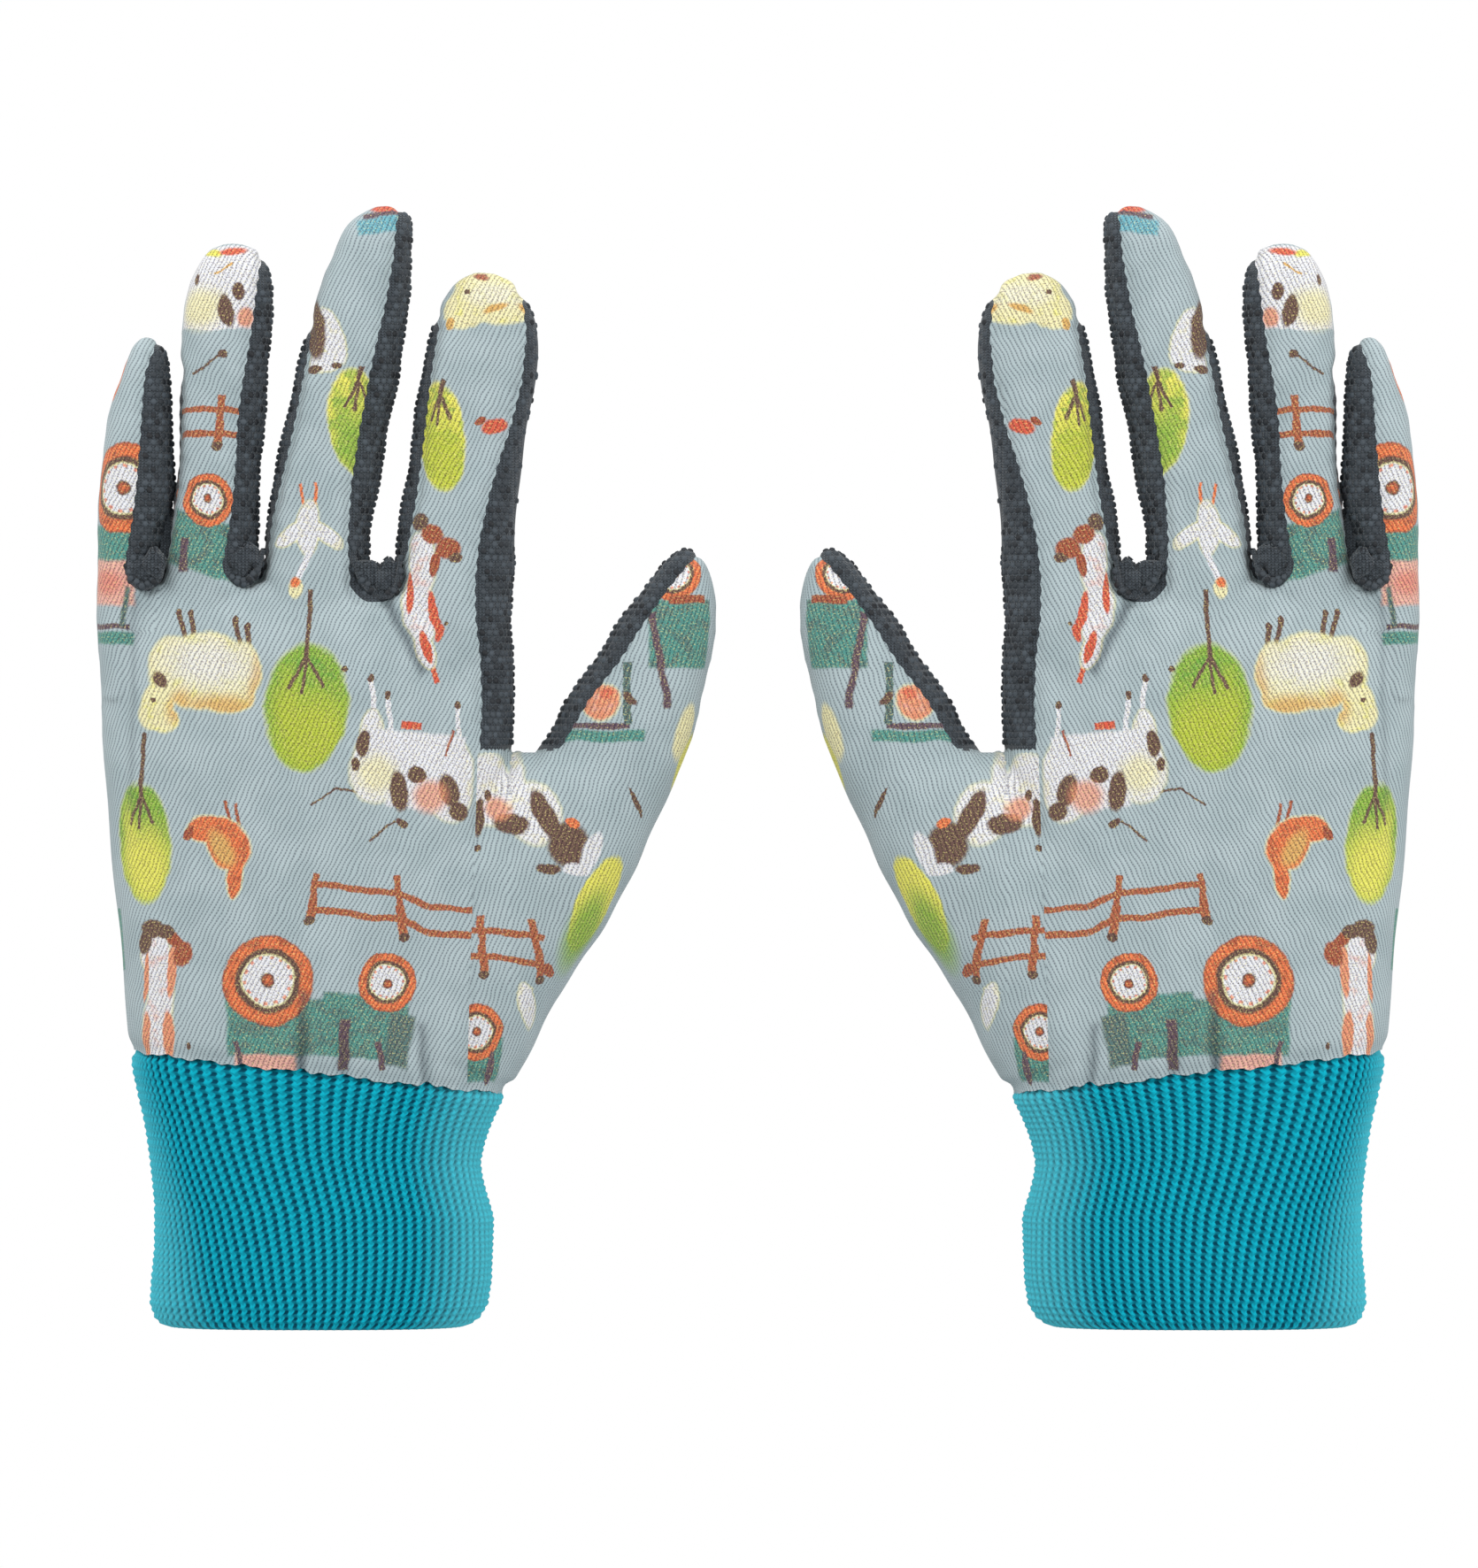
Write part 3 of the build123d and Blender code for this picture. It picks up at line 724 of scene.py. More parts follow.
class Print(FarmShapes):
    """Paints simple farm shapes, one over another, on a base colour."""

    def __init__(self, g, p, base):
        self.g, self.p, self.colour = g, p, base
        slow = g.node("ShaderNodeTexNoise", {"Vector": p, "Scale": 0.22, "Detail": 2.0}).outputs["Color"]
        fine = g.node("ShaderNodeTexNoise", {"Vector": p, "Scale": 2.3, "Detail": 2.0}).outputs["Color"]
        self.edge = g.vector("ADD", p, g.vector("MULTIPLY", g.vector("SUBTRACT", slow, 0.5), 1.3))
        self.edge = g.vector("ADD", self.edge, g.vector("MULTIPLY", g.vector("SUBTRACT", fine, 0.5), 0.55))
        self.blot = g.noise(p, 0.42, 3.0, 0.6)
        self.fleck = g.noise(p, 2.9, 2.0, 0.75)
        self.ink = None

    def mask(self, tree, x, z, rx, rz, angle, soft):
        n = self.g.node("ShaderNodeGroup", node_tree=tree)
        for key, value in (("P", self.edge), ("Centre", (x, z, 0)), ("Radii", (rx, rz, 1)),
                           ("Angle", radians(angle)), ("Soft", soft)):
            self.g.put(n.inputs[key], value)
        return n.outputs["Mask"]

    def lay(self, m, colour):
        self.colour = self.g.mix(m, self.colour, colour)
        self.ink = m if self.ink is None else self.g.math("MAXIMUM", self.ink, m)
        return m

    def oval(self, x, z, rx, rz, colour, angle=0, soft=0.07, strength=1.0):
        m = self.mask(OVAL, x, z, rx, rz, angle, soft)
        return self.lay(m if strength == 1.0 else self.g.math("MULTIPLY", m, strength), colour)

    def bar(self, x, z, rx, rz, colour, angle=0, soft=0.12):
        return self.lay(self.mask(BAR, x, z, rx, rz, angle, soft), colour)

    def within(self, mask, low, high, colour, strength=1.0):
        """Stains part of a shape, where the painting noise is high."""
        g = self.g
        m = g.math("MULTIPLY", mask, g.remap(self.blot, low, high))
        self.colour = g.mix(g.math("MULTIPLY", m, strength), self.colour, colour)

    def fold(self, x0, z0, x1, z1, half, strength):
        """A soft dark line of painted shade, under no ink."""
        x, z, reach, angle = self.along(x0, z0, x1, z1)
        m = self.mask(BAR, x, z, reach, half, angle, 1.1)
        self.colour = self.g.mix(self.g.math("MULTIPLY", m, strength), self.colour, SHADE)

    def tint(self, inside, x, z, rx, rz, colour, angle=0, soft=0.5, strength=0.8):
        """A soft oval of colour that stays inside a shape."""
        m = self.g.math("MULTIPLY", self.mask(OVAL, x, z, rx, rz, angle, soft), inside)
        self.colour = self.g.mix(self.g.math("MULTIPLY", m, strength), self.colour, colour)

    def either(self, a, b):
        return b if a is None else self.g.math("MAXIMUM", a, b)

    def wheel(self, x, z, r):
        g = self.g
        away = g.vector("SUBTRACT", self.edge, (x, z, 0))
        share = g.math("DIVIDE", g.vector("LENGTH", away), r)
        ramp = g.node("ShaderNodeValToRGB", {0: share})
        stops = [(0.0, ORANGE), (0.11, RUST), (0.15, BROWN), (0.19, WHITE), (0.54, WHITE), (0.58, HALO),
                 (0.62, BROWN), (0.7, BROWN), (0.76, ORANGE), (0.93, ORANGE), (1.0, RUST)]
        e = ramp.color_ramp.elements
        while len(e) < len(stops):
            e.new(0.5)
        for k, (at, colour) in enumerate(stops):
            e[k].position = at
            e[k].color = colour
        rim = self.lay(g.remap(share, 1.03, 0.97), ramp.outputs[0])
        tyre = g.math("MULTIPLY", rim, g.remap(share, 0.72, 0.8))
        self.within(tyre, 0.5, 0.64, RUST, 0.7)
        across, up, _ = g.split(away)
        spots = g.math("SINE", g.math("MULTIPLY", g.math("ARCTAN2", across, up), 14.0))
        band = g.remap(g.math("ABSOLUTE", g.math("SUBTRACT", share, 0.52)), 0.05, 0.02)
        ring = g.math("MULTIPLY", band, g.remap(spots, 0.0, 0.6))
        self.colour = g.mix(g.math("MULTIPLY", ring, 0.8), self.colour, ORANGE)


class Extent(FarmShapes):
    """Measures how far a motif reaches on the map."""

    def __init__(self, painter):
        self.low, self.high = np.full(2, 1e9), np.full(2, -1e9)
        painter(self)

    def cover(self, x, z, hx, hz, soft):
        reach = np.array([hx, hz]) * (1 + soft) + 1.1
        self.low = np.minimum(self.low, np.array([x, z]) - reach)
        self.high = np.maximum(self.high, np.array([x, z]) + reach)

    def oval(self, x, z, rx, rz, colour, angle=0, soft=0.07, strength=1.0):
        c, s = cos(radians(angle)), sin(radians(angle))
        self.cover(x, z, sqrt((rx * c) ** 2 + (rz * s) ** 2), sqrt((rx * s) ** 2 + (rz * c) ** 2), soft)

    def bar(self, x, z, rx, rz, colour, angle=0, soft=0.12):
        c, s = abs(cos(radians(angle))), abs(sin(radians(angle)))
        self.cover(x, z, rx * c + rz * s + soft, rx * s + rz * c + soft, 0.0)

    def wheel(self, x, z, r):
        self.cover(x, z, r, r, 0.05)

    def fold(self, x0, z0, x1, z1, half, strength):
        self.cover((x0 + x1) / 2, (z0 + z1) / 2, abs(x1 - x0) / 2 + half, abs(z1 - z0) / 2 + half, 0.0)

    def within(self, mask, low, high, colour, strength=1.0):
        pass  # a stain stays inside its shape

    def tint(self, *anything):
        pass  # and so does a tint

    def either(self, a, b):
        return None


ORANGE, RUST, BROWN = rgb(226, 112, 66), rgb(158, 74, 52), rgb(94, 68, 62)
RAIL, WHITE, CREAM = rgb(168, 88, 60), rgb(222, 224, 230), rgb(230, 224, 176)
HALO, GOLD = rgb(226, 222, 170), rgb(214, 168, 96)
TEAL, PURPLE, PINK = rgb(66, 142, 134), rgb(88, 70, 88), rgb(226, 168, 156)
PEACH, MOSS = rgb(222, 140, 108), rgb(72, 108, 108)
GREEN, LIME, YELLOW = rgb(128, 174, 58), rgb(180, 194, 54), rgb(226, 222, 92)
GREEN_DEEP = rgb(88, 156, 62)
RED, SKY, SHADE = rgb(212, 84, 62), rgb(96, 168, 184), rgb(62, 72, 80)


def sheep(p):
    p.legs(BROWN, (-23.0, 121, -24.8, 127.2), (-21.8, 121, -22.6, 127.0), (-13.4, 119, -14.4, 125.8),
           (-12.0, 119, -12.4, 124.6))
    fleece = p.body(
        CREAM, YELLOW, (-20.0, 116.4, 9.0, 6.4, 4), (-13.6, 116.2, 3.4, 5.6, 6),
        (-25.4, 117.4, 4.8, 5.4, -20), (-19.6, 118.6, 7.4, 4.8, 6), (-16.0, 112.6, 5.0, 3.2, 4),
        (-28.8, 110.8, 2.9, 4.4, 24), (-27.4, 108.2, 2.6, 2.2, 0),
    )
    p.tint(fleece, -16.6, 109.8, 7.4, 2.4, GOLD, 4, 0.6, 0.9)
    p.tint(fleece, -24.8, 110.6, 1.8, 3.0, GOLD, 20, 0.6, 0.8)
    p.tint(fleece, -10.6, 115.4, 1.4, 5.0, GOLD, 6, 0.7, 0.8)
    p.tint(fleece, -19.6, 118.2, 8.0, 4.2, WHITE, 6, 0.6, 0.7)
    p.oval(-28.2, 115.2, 1.0, 1.8, BROWN, -40, 0.2)
    p.oval(-29.4, 111.6, 0.5, 0.4, BROWN)


def hand_motifs():
    """A painter for each motif on the back of the hand and the fingers, back to front."""
    return [
        # tractor, fence and trees on the hand
        lambda p: (
            p.within(p.bar(-9.0, 54.2, 6.8, 5.4, TEAL, -2, 0.4), 0.46, 0.6, MOSS, 0.7),
            p.within(p.bar(8.6, 53.8, 7.6, 5.6, TEAL, 4, 0.4), 0.46, 0.6, MOSS, 0.7),
            p.within(p.bar(-0.4, 53.8, 5.6, 4.8, TEAL, 0, 0.5), 0.46, 0.6, MOSS, 0.7),
            p.bar(14.6, 51.4, 2.2, 4.6, MOSS, 10, 0.5), p.bar(-9.0, 46.8, 5.4, 2.2, PINK, 0, 0.4),
            p.bar(5.0, 50.6, 0.95, 4.6, PURPLE, 3, 0.25), p.bar(-13.6, 48.4, 0.5, 3.0, PURPLE, -12),
            p.bar(11.4, 48.6, 0.5, 2.6, PURPLE, -10), p.wheel(-8.5, 62.0, 8.0), p.wheel(12.6, 61.6, 5.2),
        ),
        lambda p: (
            p.rails([(-0.6, 79.0), (7.0, 78.4), (14.6, 77.4), (20.0, 75.2), (27.8, 74.4)], 4.6),
            p.post(-0.6, 76.8, 4.2, 8), p.post(14.8, 75.2, 5.6, -6),
        ),
        lambda p: p.tree(-1.9, 110.4, 7.3, 11.3, GREEN, LIME, 4, 9.5),
        lambda p: p.tree(-31.9, 86.4, 5.7, 10.6, GREEN, YELLOW, -4, 9),
        # a small bird lying on its back
        lambda p: (
            p.line(-15.2, 90.2, -16.2, 94.0, 0.3, RUST), p.line(-13.8, 89.4, -14.2, 93.4, 0.25, RUST),
            p.body(
                ORANGE, RUST, (-18.8, 88.8, 4.4, 2.3, -4), (-15.8, 86.0, 3.6, 4.6, -30),
                (-14.4, 80.8, 1.3, 4.2, 8),
            ),
            p.oval(-16.8, 85.4, 1.8, 3.4, GOLD, -30, 0.4, 0.9), p.oval(-22.8, 88.0, 0.9, 1.4, RUST, 20),
        ),
        sheep,
        # a cow, with its legs up
        lambda p: (
            p.legs(WHITE, (10.4, 104, 9.6, 115.6), (13.4, 104, 12.4, 112.6), (25.4, 103, 25.0, 110.8)),
            p.line(-1.0, 93.2, 3.4, 96.0, 0.2, BROWN), p.line(3.4, 96.0, 7.4, 95.4, 0.2, BROWN),
            p.body(
                WHITE, CREAM, (11.0, 99.8, 4.9, 6.4, 14), (23.8, 97.6, 4.4, 7.4, 0),
                (9.8, 105.0, 2.0, 5.0, 0),
            ),
            p.bar(17.4, 100.6, 8.6, 5.4, WHITE, 6, 0.5), p.bar(19.8, 95.8, 7.0, 3.6, WHITE, 6, 0.5),
            p.oval(10.6, 98.6, 3.6, 3.4, CREAM, 20, 0.5, 0.8), p.line(15.0, 107.4, 18.6, 107.0, 0.6, RED),
            p.patches(
                BROWN, (14.6, 95.6, 1.7, 3.6, -10), (17.8, 98.4, 1.7, 1.5, 20), (8.2, 104.0, 1.1, 2.4, 10),
                (23.6, 95.6, 1.8, 3.0, -20), (25.4, 92.0, 1.9, 1.6, 10), (6.8, 100.4, 0.7, 1.2, 0),
            ),
            p.oval(20.2, 94.6, 3.0, 2.8, PEACH, 0, 0.4, 0.8), p.line(22.8, 101.6, 24.4, 106.4, 0.2, RUST),
        ),
        lambda p: (
            p.line(9.4, 86.6, 13.8, 90.4, 0.2, BROWN), p.oval(15.0, 90.0, 1.3, 0.7, BROWN, 35),
        ),
        # a goat
        lambda p: (
            p.body(
                WHITE, PINK, (-29.2, 52.8, 3.3, 7.2, 4), (-28.4, 60.6, 2.8, 6.6, -4),
                (-29.4, 66.6, 3.0, 3.8, 0),
            ),
            p.patches(
                PEACH, (-26.0, 63.4, 0.9, 4.8, 4), (-31.6, 52.0, 1.1, 4.4, 6), (-26.8, 52.4, 1.2, 4.2, 0),
                (-31.4, 62.6, 0.6, 4.6, 8),
            ),
            p.patches(RUST, (-23.9, 66.8, 1.6, 2.3, 20), (-25.4, 69.2, 1.8, 1.3, 30)),
            p.patches(
                BROWN, (-31.6, 68.8, 1.5, 2.3, 10), (-30.0, 71.2, 2.4, 1.5, 0), (-27.2, 70.6, 1.7, 1.2, 0),
            ),
            p.oval(-22.8, 50.4, 0.4, 0.8, BROWN),
        ),
        lambda p: p.bar(-43.0, 69, 4.0, 5.5, TEAL),
        # a hen at the foot of the forefinger
        lambda p: (
            p.line(19.6, 121.0, 21.4, 114.6, 0.5, RED),
            p.body(
                WHITE, PINK, (18.4, 136.4, 2.4, 5.4, -6), (18.0, 127.6, 2.9, 6.2, -10),
                (19.2, 120.6, 1.6, 3.4, -20),
            ),
            p.patches(
                RED, (20.6, 127.4, 0.9, 3.8, -12), (16.2, 130.6, 0.7, 3.6, 0), (19.4, 121.2, 0.9, 3.0, -20),
                (21.6, 123.6, 0.7, 1.6, 10),
            ),
            p.patches(
                RUST, (23.0, 138.6, 2.2, 1.9, 10), (20.2, 141.2, 2.1, 1.6, 20), (20.8, 136.0, 0.8, 2.6, 10),
            ),
            p.patches(BROWN, (17.9, 143.4, 1.7, 1.5, 0), (24.4, 136.8, 1.2, 0.9, 0)),
        ),
        # a goose
        lambda p: (
            p.line(-2.6, 146.5, -3.2, 150.2, 0.28, ORANGE), p.line(-0.6, 146.5, -0.4, 150.4, 0.28, ORANGE),
            p.body(
                WHITE, CREAM, (-1.8, 142.4, 1.9, 4.8, 4), (-5.0, 141.0, 3.2, 1.4, -34),
                (1.6, 141.0, 3.0, 1.3, 38),
            ),
            p.line(-1.4, 138.6, -3.4, 133.4, 0.55, WHITE), p.oval(-3.9, 131.6, 1.4, 1.8, CREAM, 0, 0.2),
            p.oval(-4.0, 132.6, 1.0, 0.9, ORANGE, 0, 0.3),
        ),
        # ring finger
        lambda p: (
            p.bar(-17.0, 185.3, 10.0, 7.5, WHITE, 0, 0.2),
            p.oval(-21.4, 181.6, 4.6, 3.4, CREAM, -10, 0.5, 0.9),
            p.oval(-19.2, 191.6, 2.0, 0.8, YELLOW, 20, 0.3), p.oval(-15.4, 191.6, 2.4, 0.7, RED, -6, 0.3),
            p.patches(
                BROWN, (-14.2, 184.6, 1.2, 1.6, 0), (-16.6, 181.0, 1.3, 3.0, -14),
                (-22.4, 186.8, 0.7, 1.0, 0),
            ),
            p.oval(-13.0, 179.8, 1.6, 1.9, PEACH, 0, 0.3, 0.9),
            p.line(-18.6, 187.6, -15.4, 189.6, 0.2, GOLD),
        ),
        lambda p: (
            p.line(-22.6, 169.6, -17.6, 173.0, 0.2, BROWN), p.oval(-17.0, 173.2, 0.9, 0.8, BROWN),
        ),
        lambda p: (
            p.rails([(-26.0, 163.2), (-20.0, 163.6), (-13.0, 163.0)], 4.4), p.post(-17.6, 161.4, 4.6, 3),
        ),
        lambda p: (
            p.within(p.bar(-20.6, 139.2, 7.0, 4.8, TEAL, 16, 0.5), 0.48, 0.62, MOSS, 0.8),
            p.bar(-24.0, 137.6, 0.8, 3.2, PURPLE, 3, 0.25), p.wheel(-19.6, 147.4, 4.7),
        ),
        # little finger
        lambda p: (
            p.bar(-37.4, 139.5, 6.0, 3.4, TEAL, 0, 0.4), p.bar(-37.8, 132.6, 5.0, 4.0, PINK, 0, 0.5),
            p.oval(-38.0, 132.6, 3.0, 2.2, RED, 0, 0.5, 0.5), p.wheel(-34.8, 149.4, 8.0),
        ),
        lambda p: p.oval(-38.6, 171.0, 2.4, 6.0, ORANGE, 12),
        lambda p: (
            p.bar(-38.4, 122.8, 5.2, 1.1, TEAL, 0, 0.3), p.bar(-38.4, 124.9, 5.2, 0.5, PURPLE, 0, 0.2),
            p.bar(-34.4, 128.4, 0.5, 3.6, MOSS, 6, 0.3),
        ),
        # middle finger
        lambda p: (
            p.bar(12.0, 196.6, 5.4, 1.5, SKY, -8, 0.4), p.bar(12.0, 198.6, 4.6, 0.5, PURPLE, -8, 0.3),
            p.oval(12.4, 200.0, 3.6, 1.0, RED, -10, 0.2),
        ),
        lambda p: (
            p.body(WHITE, CREAM, (2.2, 176.6, 1.9, 5.4, -22), (0.8, 171.8, 2.8, 1.8, 0)),
            p.patches(
                BROWN, (-1.4, 177.6, 2.5, 5.4, -12), (-0.8, 170.6, 1.5, 0.7, 0), (3.2, 171.2, 1.0, 0.6, 0),
            ),
        ),
        lambda p: p.tree(7.0, 161.0, 5.2, 9.6, YELLOW, GREEN, -10, 0.5),
        # forefinger
        lambda p: (
            p.body(
                CREAM, YELLOW, (31.2, 183.0, 7.8, 4.0, 6), (25.6, 181.4, 3.6, 3.4, 0),
                (29.6, 186.2, 5.6, 2.4, 0),
            ),
            p.oval(31.4, 184.0, 4.8, 2.2, WHITE, 4, 0.5, 0.4), p.oval(26.6, 184.6, 0.6, 0.4, BROWN),
            p.oval(28.8, 187.4, 1.5, 0.6, RUST, 10, 0.4), p.oval(31.4, 181.6, 2.2, 0.6, GOLD, -20, 0.3),
            p.oval(36.8, 181.8, 1.6, 0.9, GOLD, 20, 0.4), p.oval(23.4, 178.8, 0.8, 1.3, GOLD, 20, 0.2),
        ),
        lambda p: p.tree(21.6, 158.6, 4.4, 9.6, YELLOW, LIME, -6, 0.5),
        lambda p: (
            p.oval(31.4, 160.4, 2.5, 1.4, RED, -14, 0.15), p.oval(28.8, 161.4, 1.1, 0.7, RUST, -30),
        ),
        lambda p: (
            p.oval(4.8, 117.0, 0.5, 0.5, BROWN), p.oval(22.6, 125.2, 0.4, 0.4, BROWN),
        ),
    ]


def thumb_motifs():
    """A painter for each motif on the thumb's panel."""
    return [
        lambda p: (
            p.rails([(26.6, 70.8), (33.0, 70.6), (40.4, 69.4)], 4.6), p.post(29.4, 68.2, 5.2, -4),
            p.post(39.2, 67.4, 5.4, -14),
        ),
        lambda p: (
            p.body(
                WHITE, CREAM, (31.4, 95.8, 5.6, 6.4, 0), (38.4, 91.6, 4.8, 5.6, -30),
                (34.4, 92.4, 4.6, 3.6, 0),
            ),
            p.patches(
                BROWN, (29.2, 90.8, 1.0, 3.4, 10), (34.6, 89.6, 3.0, 1.9, 8), (44.6, 86.0, 3.6, 4.2, 0),
                (40.4, 91.2, 1.9, 5.0, -28), (31.2, 94.6, 0.8, 1.0, 0), (49.4, 79.6, 0.9, 1.3, 0),
                (41.0, 81.8, 2.2, 1.0, 10),
            ),
            p.oval(32.6, 92.2, 2.0, 2.0, PEACH, 0, 0.4, 0.85),
            p.oval(48.6, 84.6, 1.6, 3.8, WHITE, 24, 0.15), p.oval(46.0, 81.6, 2.6, 1.1, WHITE, 0, 0.2),
            p.oval(45.4, 90.0, 1.4, 0.8, ORANGE, 30),
        ),
        lambda p: p.oval(28.8, 85.4, 0.7, 0.7, BROWN),
        lambda p: p.oval(50.4, 75.5, 4.2, 9.0, YELLOW, 24),
        lambda p: p.oval(48.8, 70.8, 3.6, 7.0, GREEN, 24, 0.5, 0.9),
        lambda p: (
            p.within(p.bar(29.8, 48.0, 4.2, 4.0, TEAL, 0, 0.4), 0.48, 0.62, MOSS, 0.7),
            p.wheel(28.6, 52.9, 5.0), p.body(WHITE, CREAM, (38.8, 57.4, 1.7, 4.4, -28)),
            p.oval(31.6, 46.2, 0.9, 3.2, PURPLE),
        ),
        lambda p: p.oval(42.0, 63.6, 1.7, 0.9, RUST, 30),
        lambda p: (
            p.within(p.bar(64.6, 123.6, 5.8, 6.0, TEAL, 0, 0.4), 0.48, 0.62, MOSS, 0.7),
            p.bar(60.8, 118.8, 0.7, 8.6, PURPLE, -10, 0.25), p.wheel(63.2, 134.3, 5.0),
            p.bar(65.6, 129.6, 3.4, 0.7, RUST, 0, 0.2),
        ),
        lambda p: (
            p.body(PEACH, PINK, (50.2, 111.4, 3.4, 3.2, -8)),
            p.oval(51.2, 112.8, 1.2, 1.0, RED, 0, 0.3, 0.7), p.bar(50.6, 105.4, 7.2, 1.0, TEAL, 0, 0.3),
            p.bar(50.0, 107.2, 5.2, 0.5, PURPLE), p.bar(54.9, 113.0, 0.7, 5.6, MOSS),
        ),
        lambda p: (
            p.oval(70.0, 100.6, 3.4, 5.0, YELLOW, 20, 0.2), p.oval(66.4, 106.0, 2.6, 5.0, CREAM, 14, 0.2),
        ),
        lambda p: p.oval(56.8, 93.4, 0.45, 3.0, BROWN, -30),
        lambda p: p.oval(55.4, 112.0, 1.6, 0.8, BROWN, 40, 0.2),
    ]


def bump(g, height, strength, distance):
    return g.node("ShaderNodeBump", {"Height": height, "Strength": strength, "Distance": distance}).outputs[0]


def fabric(name):
    """A new material with its graph, its shader and the cloth's map coordinates in millimetres."""
    m = bpy.data.materials.new(name)
    m.use_nodes = True
    g = Graph(m.node_tree)
    shader = m.node_tree.nodes["Principled BSDF"]
    uv = g.node("ShaderNodeUVMap", uv_map="cloth").outputs[0]
    p = g.vector("MULTIPLY", uv, (100.0, 100.0, 0.0))
    return m, g, shader, p


def twill_lines(g, p, pitch, angle):
    """Twill: wide ridges along one diagonal, with furrows broken into rows of dots; (height, darkness of the
    painted shade in the holes).
    """
    drift = g.node("ShaderNodeTexNoise", {"Vector": p, "Scale": 0.16, "Detail": 2.0}).outputs["Color"]
    x, z, _ = g.split(g.vector("ADD", p, g.vector("MULTIPLY", g.vector("SUBTRACT", drift, 0.5), 1.6)))
    a = radians(angle)
    across = g.math("ADD", g.math("MULTIPLY", x, cos(a)), g.math("MULTIPLY", z, -sin(a)))
    along = g.math("ADD", g.math("MULTIPLY", x, sin(a)), g.math("MULTIPLY", z, cos(a)))
    wave = g.math("SINE", g.math("MULTIPLY", across, 2 * pi / pitch))
    furrow = g.remap(wave, -0.15, -0.85)
    row = g.math("FLOOR", g.math("DIVIDE", across, pitch))
    step = g.math("MULTIPLY", along, 2 * pi / (pitch * 0.6))
    dots = g.math("SINE", g.math("ADD", step, g.math("MULTIPLY", row, 2.2)))
    hole = g.math("MULTIPLY", furrow, g.remap(dots, -0.7, 0.5, 0.35, 1.0))
    return g.math("SUBTRACT", g.math("MULTIPLY", wave, 0.5), hole), hole


def twill_material(name, motifs, pitch, angle):
    """The printed twill, with some of the print's motifs and of the painted shade in the deepest folds."""
    m, g, shader, p = fabric(name)
    base = g.mix(g.remap(g.noise(p, 0.11, 3.0), 0.35, 0.65), rgb(158, 173, 176), rgb(167, 181, 184))
    paint = Print(g, p, base)
    for k in motifs:
        MOTIFS_AND_SHADES[k](paint)
    if paint.ink is not None:
        # speckled ink, browner where it is thick and yellower where it is thin
        dark = g.math("MULTIPLY", paint.ink, g.remap(paint.fleck, 0.51, 0.64, 0.0, 0.72))
        pale = g.math("MULTIPLY", paint.ink, g.remap(paint.fleck, 0.46, 0.35, 0.0, 0.6))
        paint.colour = g.mix(dark, paint.colour, rgb(112, 84, 78))
        paint.colour = g.mix(pale, paint.colour, rgb(232, 216, 140))
    height, hole = twill_lines(g, p, pitch, angle)
    grain = g.remap(paint.fleck, 0.3, 0.7, 0.94, 1.05, "LINEAR")
    # painted shade: the furrows' holes are darkened
    tone = g.math("MULTIPLY", grain, g.remap(hole, 0.0, 1.0, 1.07, 0.46, "LINEAR"))
    colour = g.mix(1.0, paint.colour, g.combine(tone, tone, g.math("POWER", tone, 0.93)), "MULTIPLY")
    fuzz = g.noise(p, 5.0, 2.0)
    g.fill(shader, {
        "Base Color": colour, "Roughness": g.remap(hole, 0.0, 1.0, 0.8, 0.95, "LINEAR"),
        "Normal": bump(g, g.math("ADD", height, g.math("MULTIPLY", fuzz, 0.5)), 0.5, 0.00012),
        "Specular IOR Level": 0.25, "Sheen Weight": 0.15, "Sheen Roughness": 0.5,
    })
    return m


# the painted fold shades are laid on the twill the same way as the motifs
HAND_MOTIFS_AND_SHADES = hand_motifs() + hand_folds()
MOTIFS_AND_SHADES = HAND_MOTIFS_AND_SHADES + thumb_motifs()
REACHES = [Extent(painter) for painter in MOTIFS_AND_SHADES]
TWILLS = {}


def print_on(obj, cloth, on_thumb):
    """Gives each outer triangle the twill with the motifs that reach it, and the rest the cloth's reverse."""
    pitch, angle = (0.82, 20) if on_thumb else (0.78, 27)
    centre = cloth.uv[cloth.tris][:, :, :2].mean(axis=1)
    code = np.zeros(len(centre), np.int64)
    for k, e in enumerate(REACHES):
        if (k >= len(HAND_MOTIFS_AND_SHADES)) != on_thumb:
            continue
        code |= ((centre > e.low) & (centre < e.high)).all(axis=1).astype(np.int64) << k
    kinds, index = np.unique(code, return_inverse=True)
    for kind in kinds:
        motifs = [k for k in range(len(MOTIFS_AND_SHADES)) if int(kind) >> k & 1]
        key = (pitch, *motifs)
        if key not in TWILLS:
            TWILLS[key] = twill_material("twill_" + "_".join(str(k) for k in key), motifs, pitch, angle)
        obj.data.materials.append(TWILLS[key])
    every = np.zeros(len(obj.data.polygons), np.int32)
    every[: len(index)] = index.ravel() + 1
    obj.data.polygons.foreach_set("material_index", every)


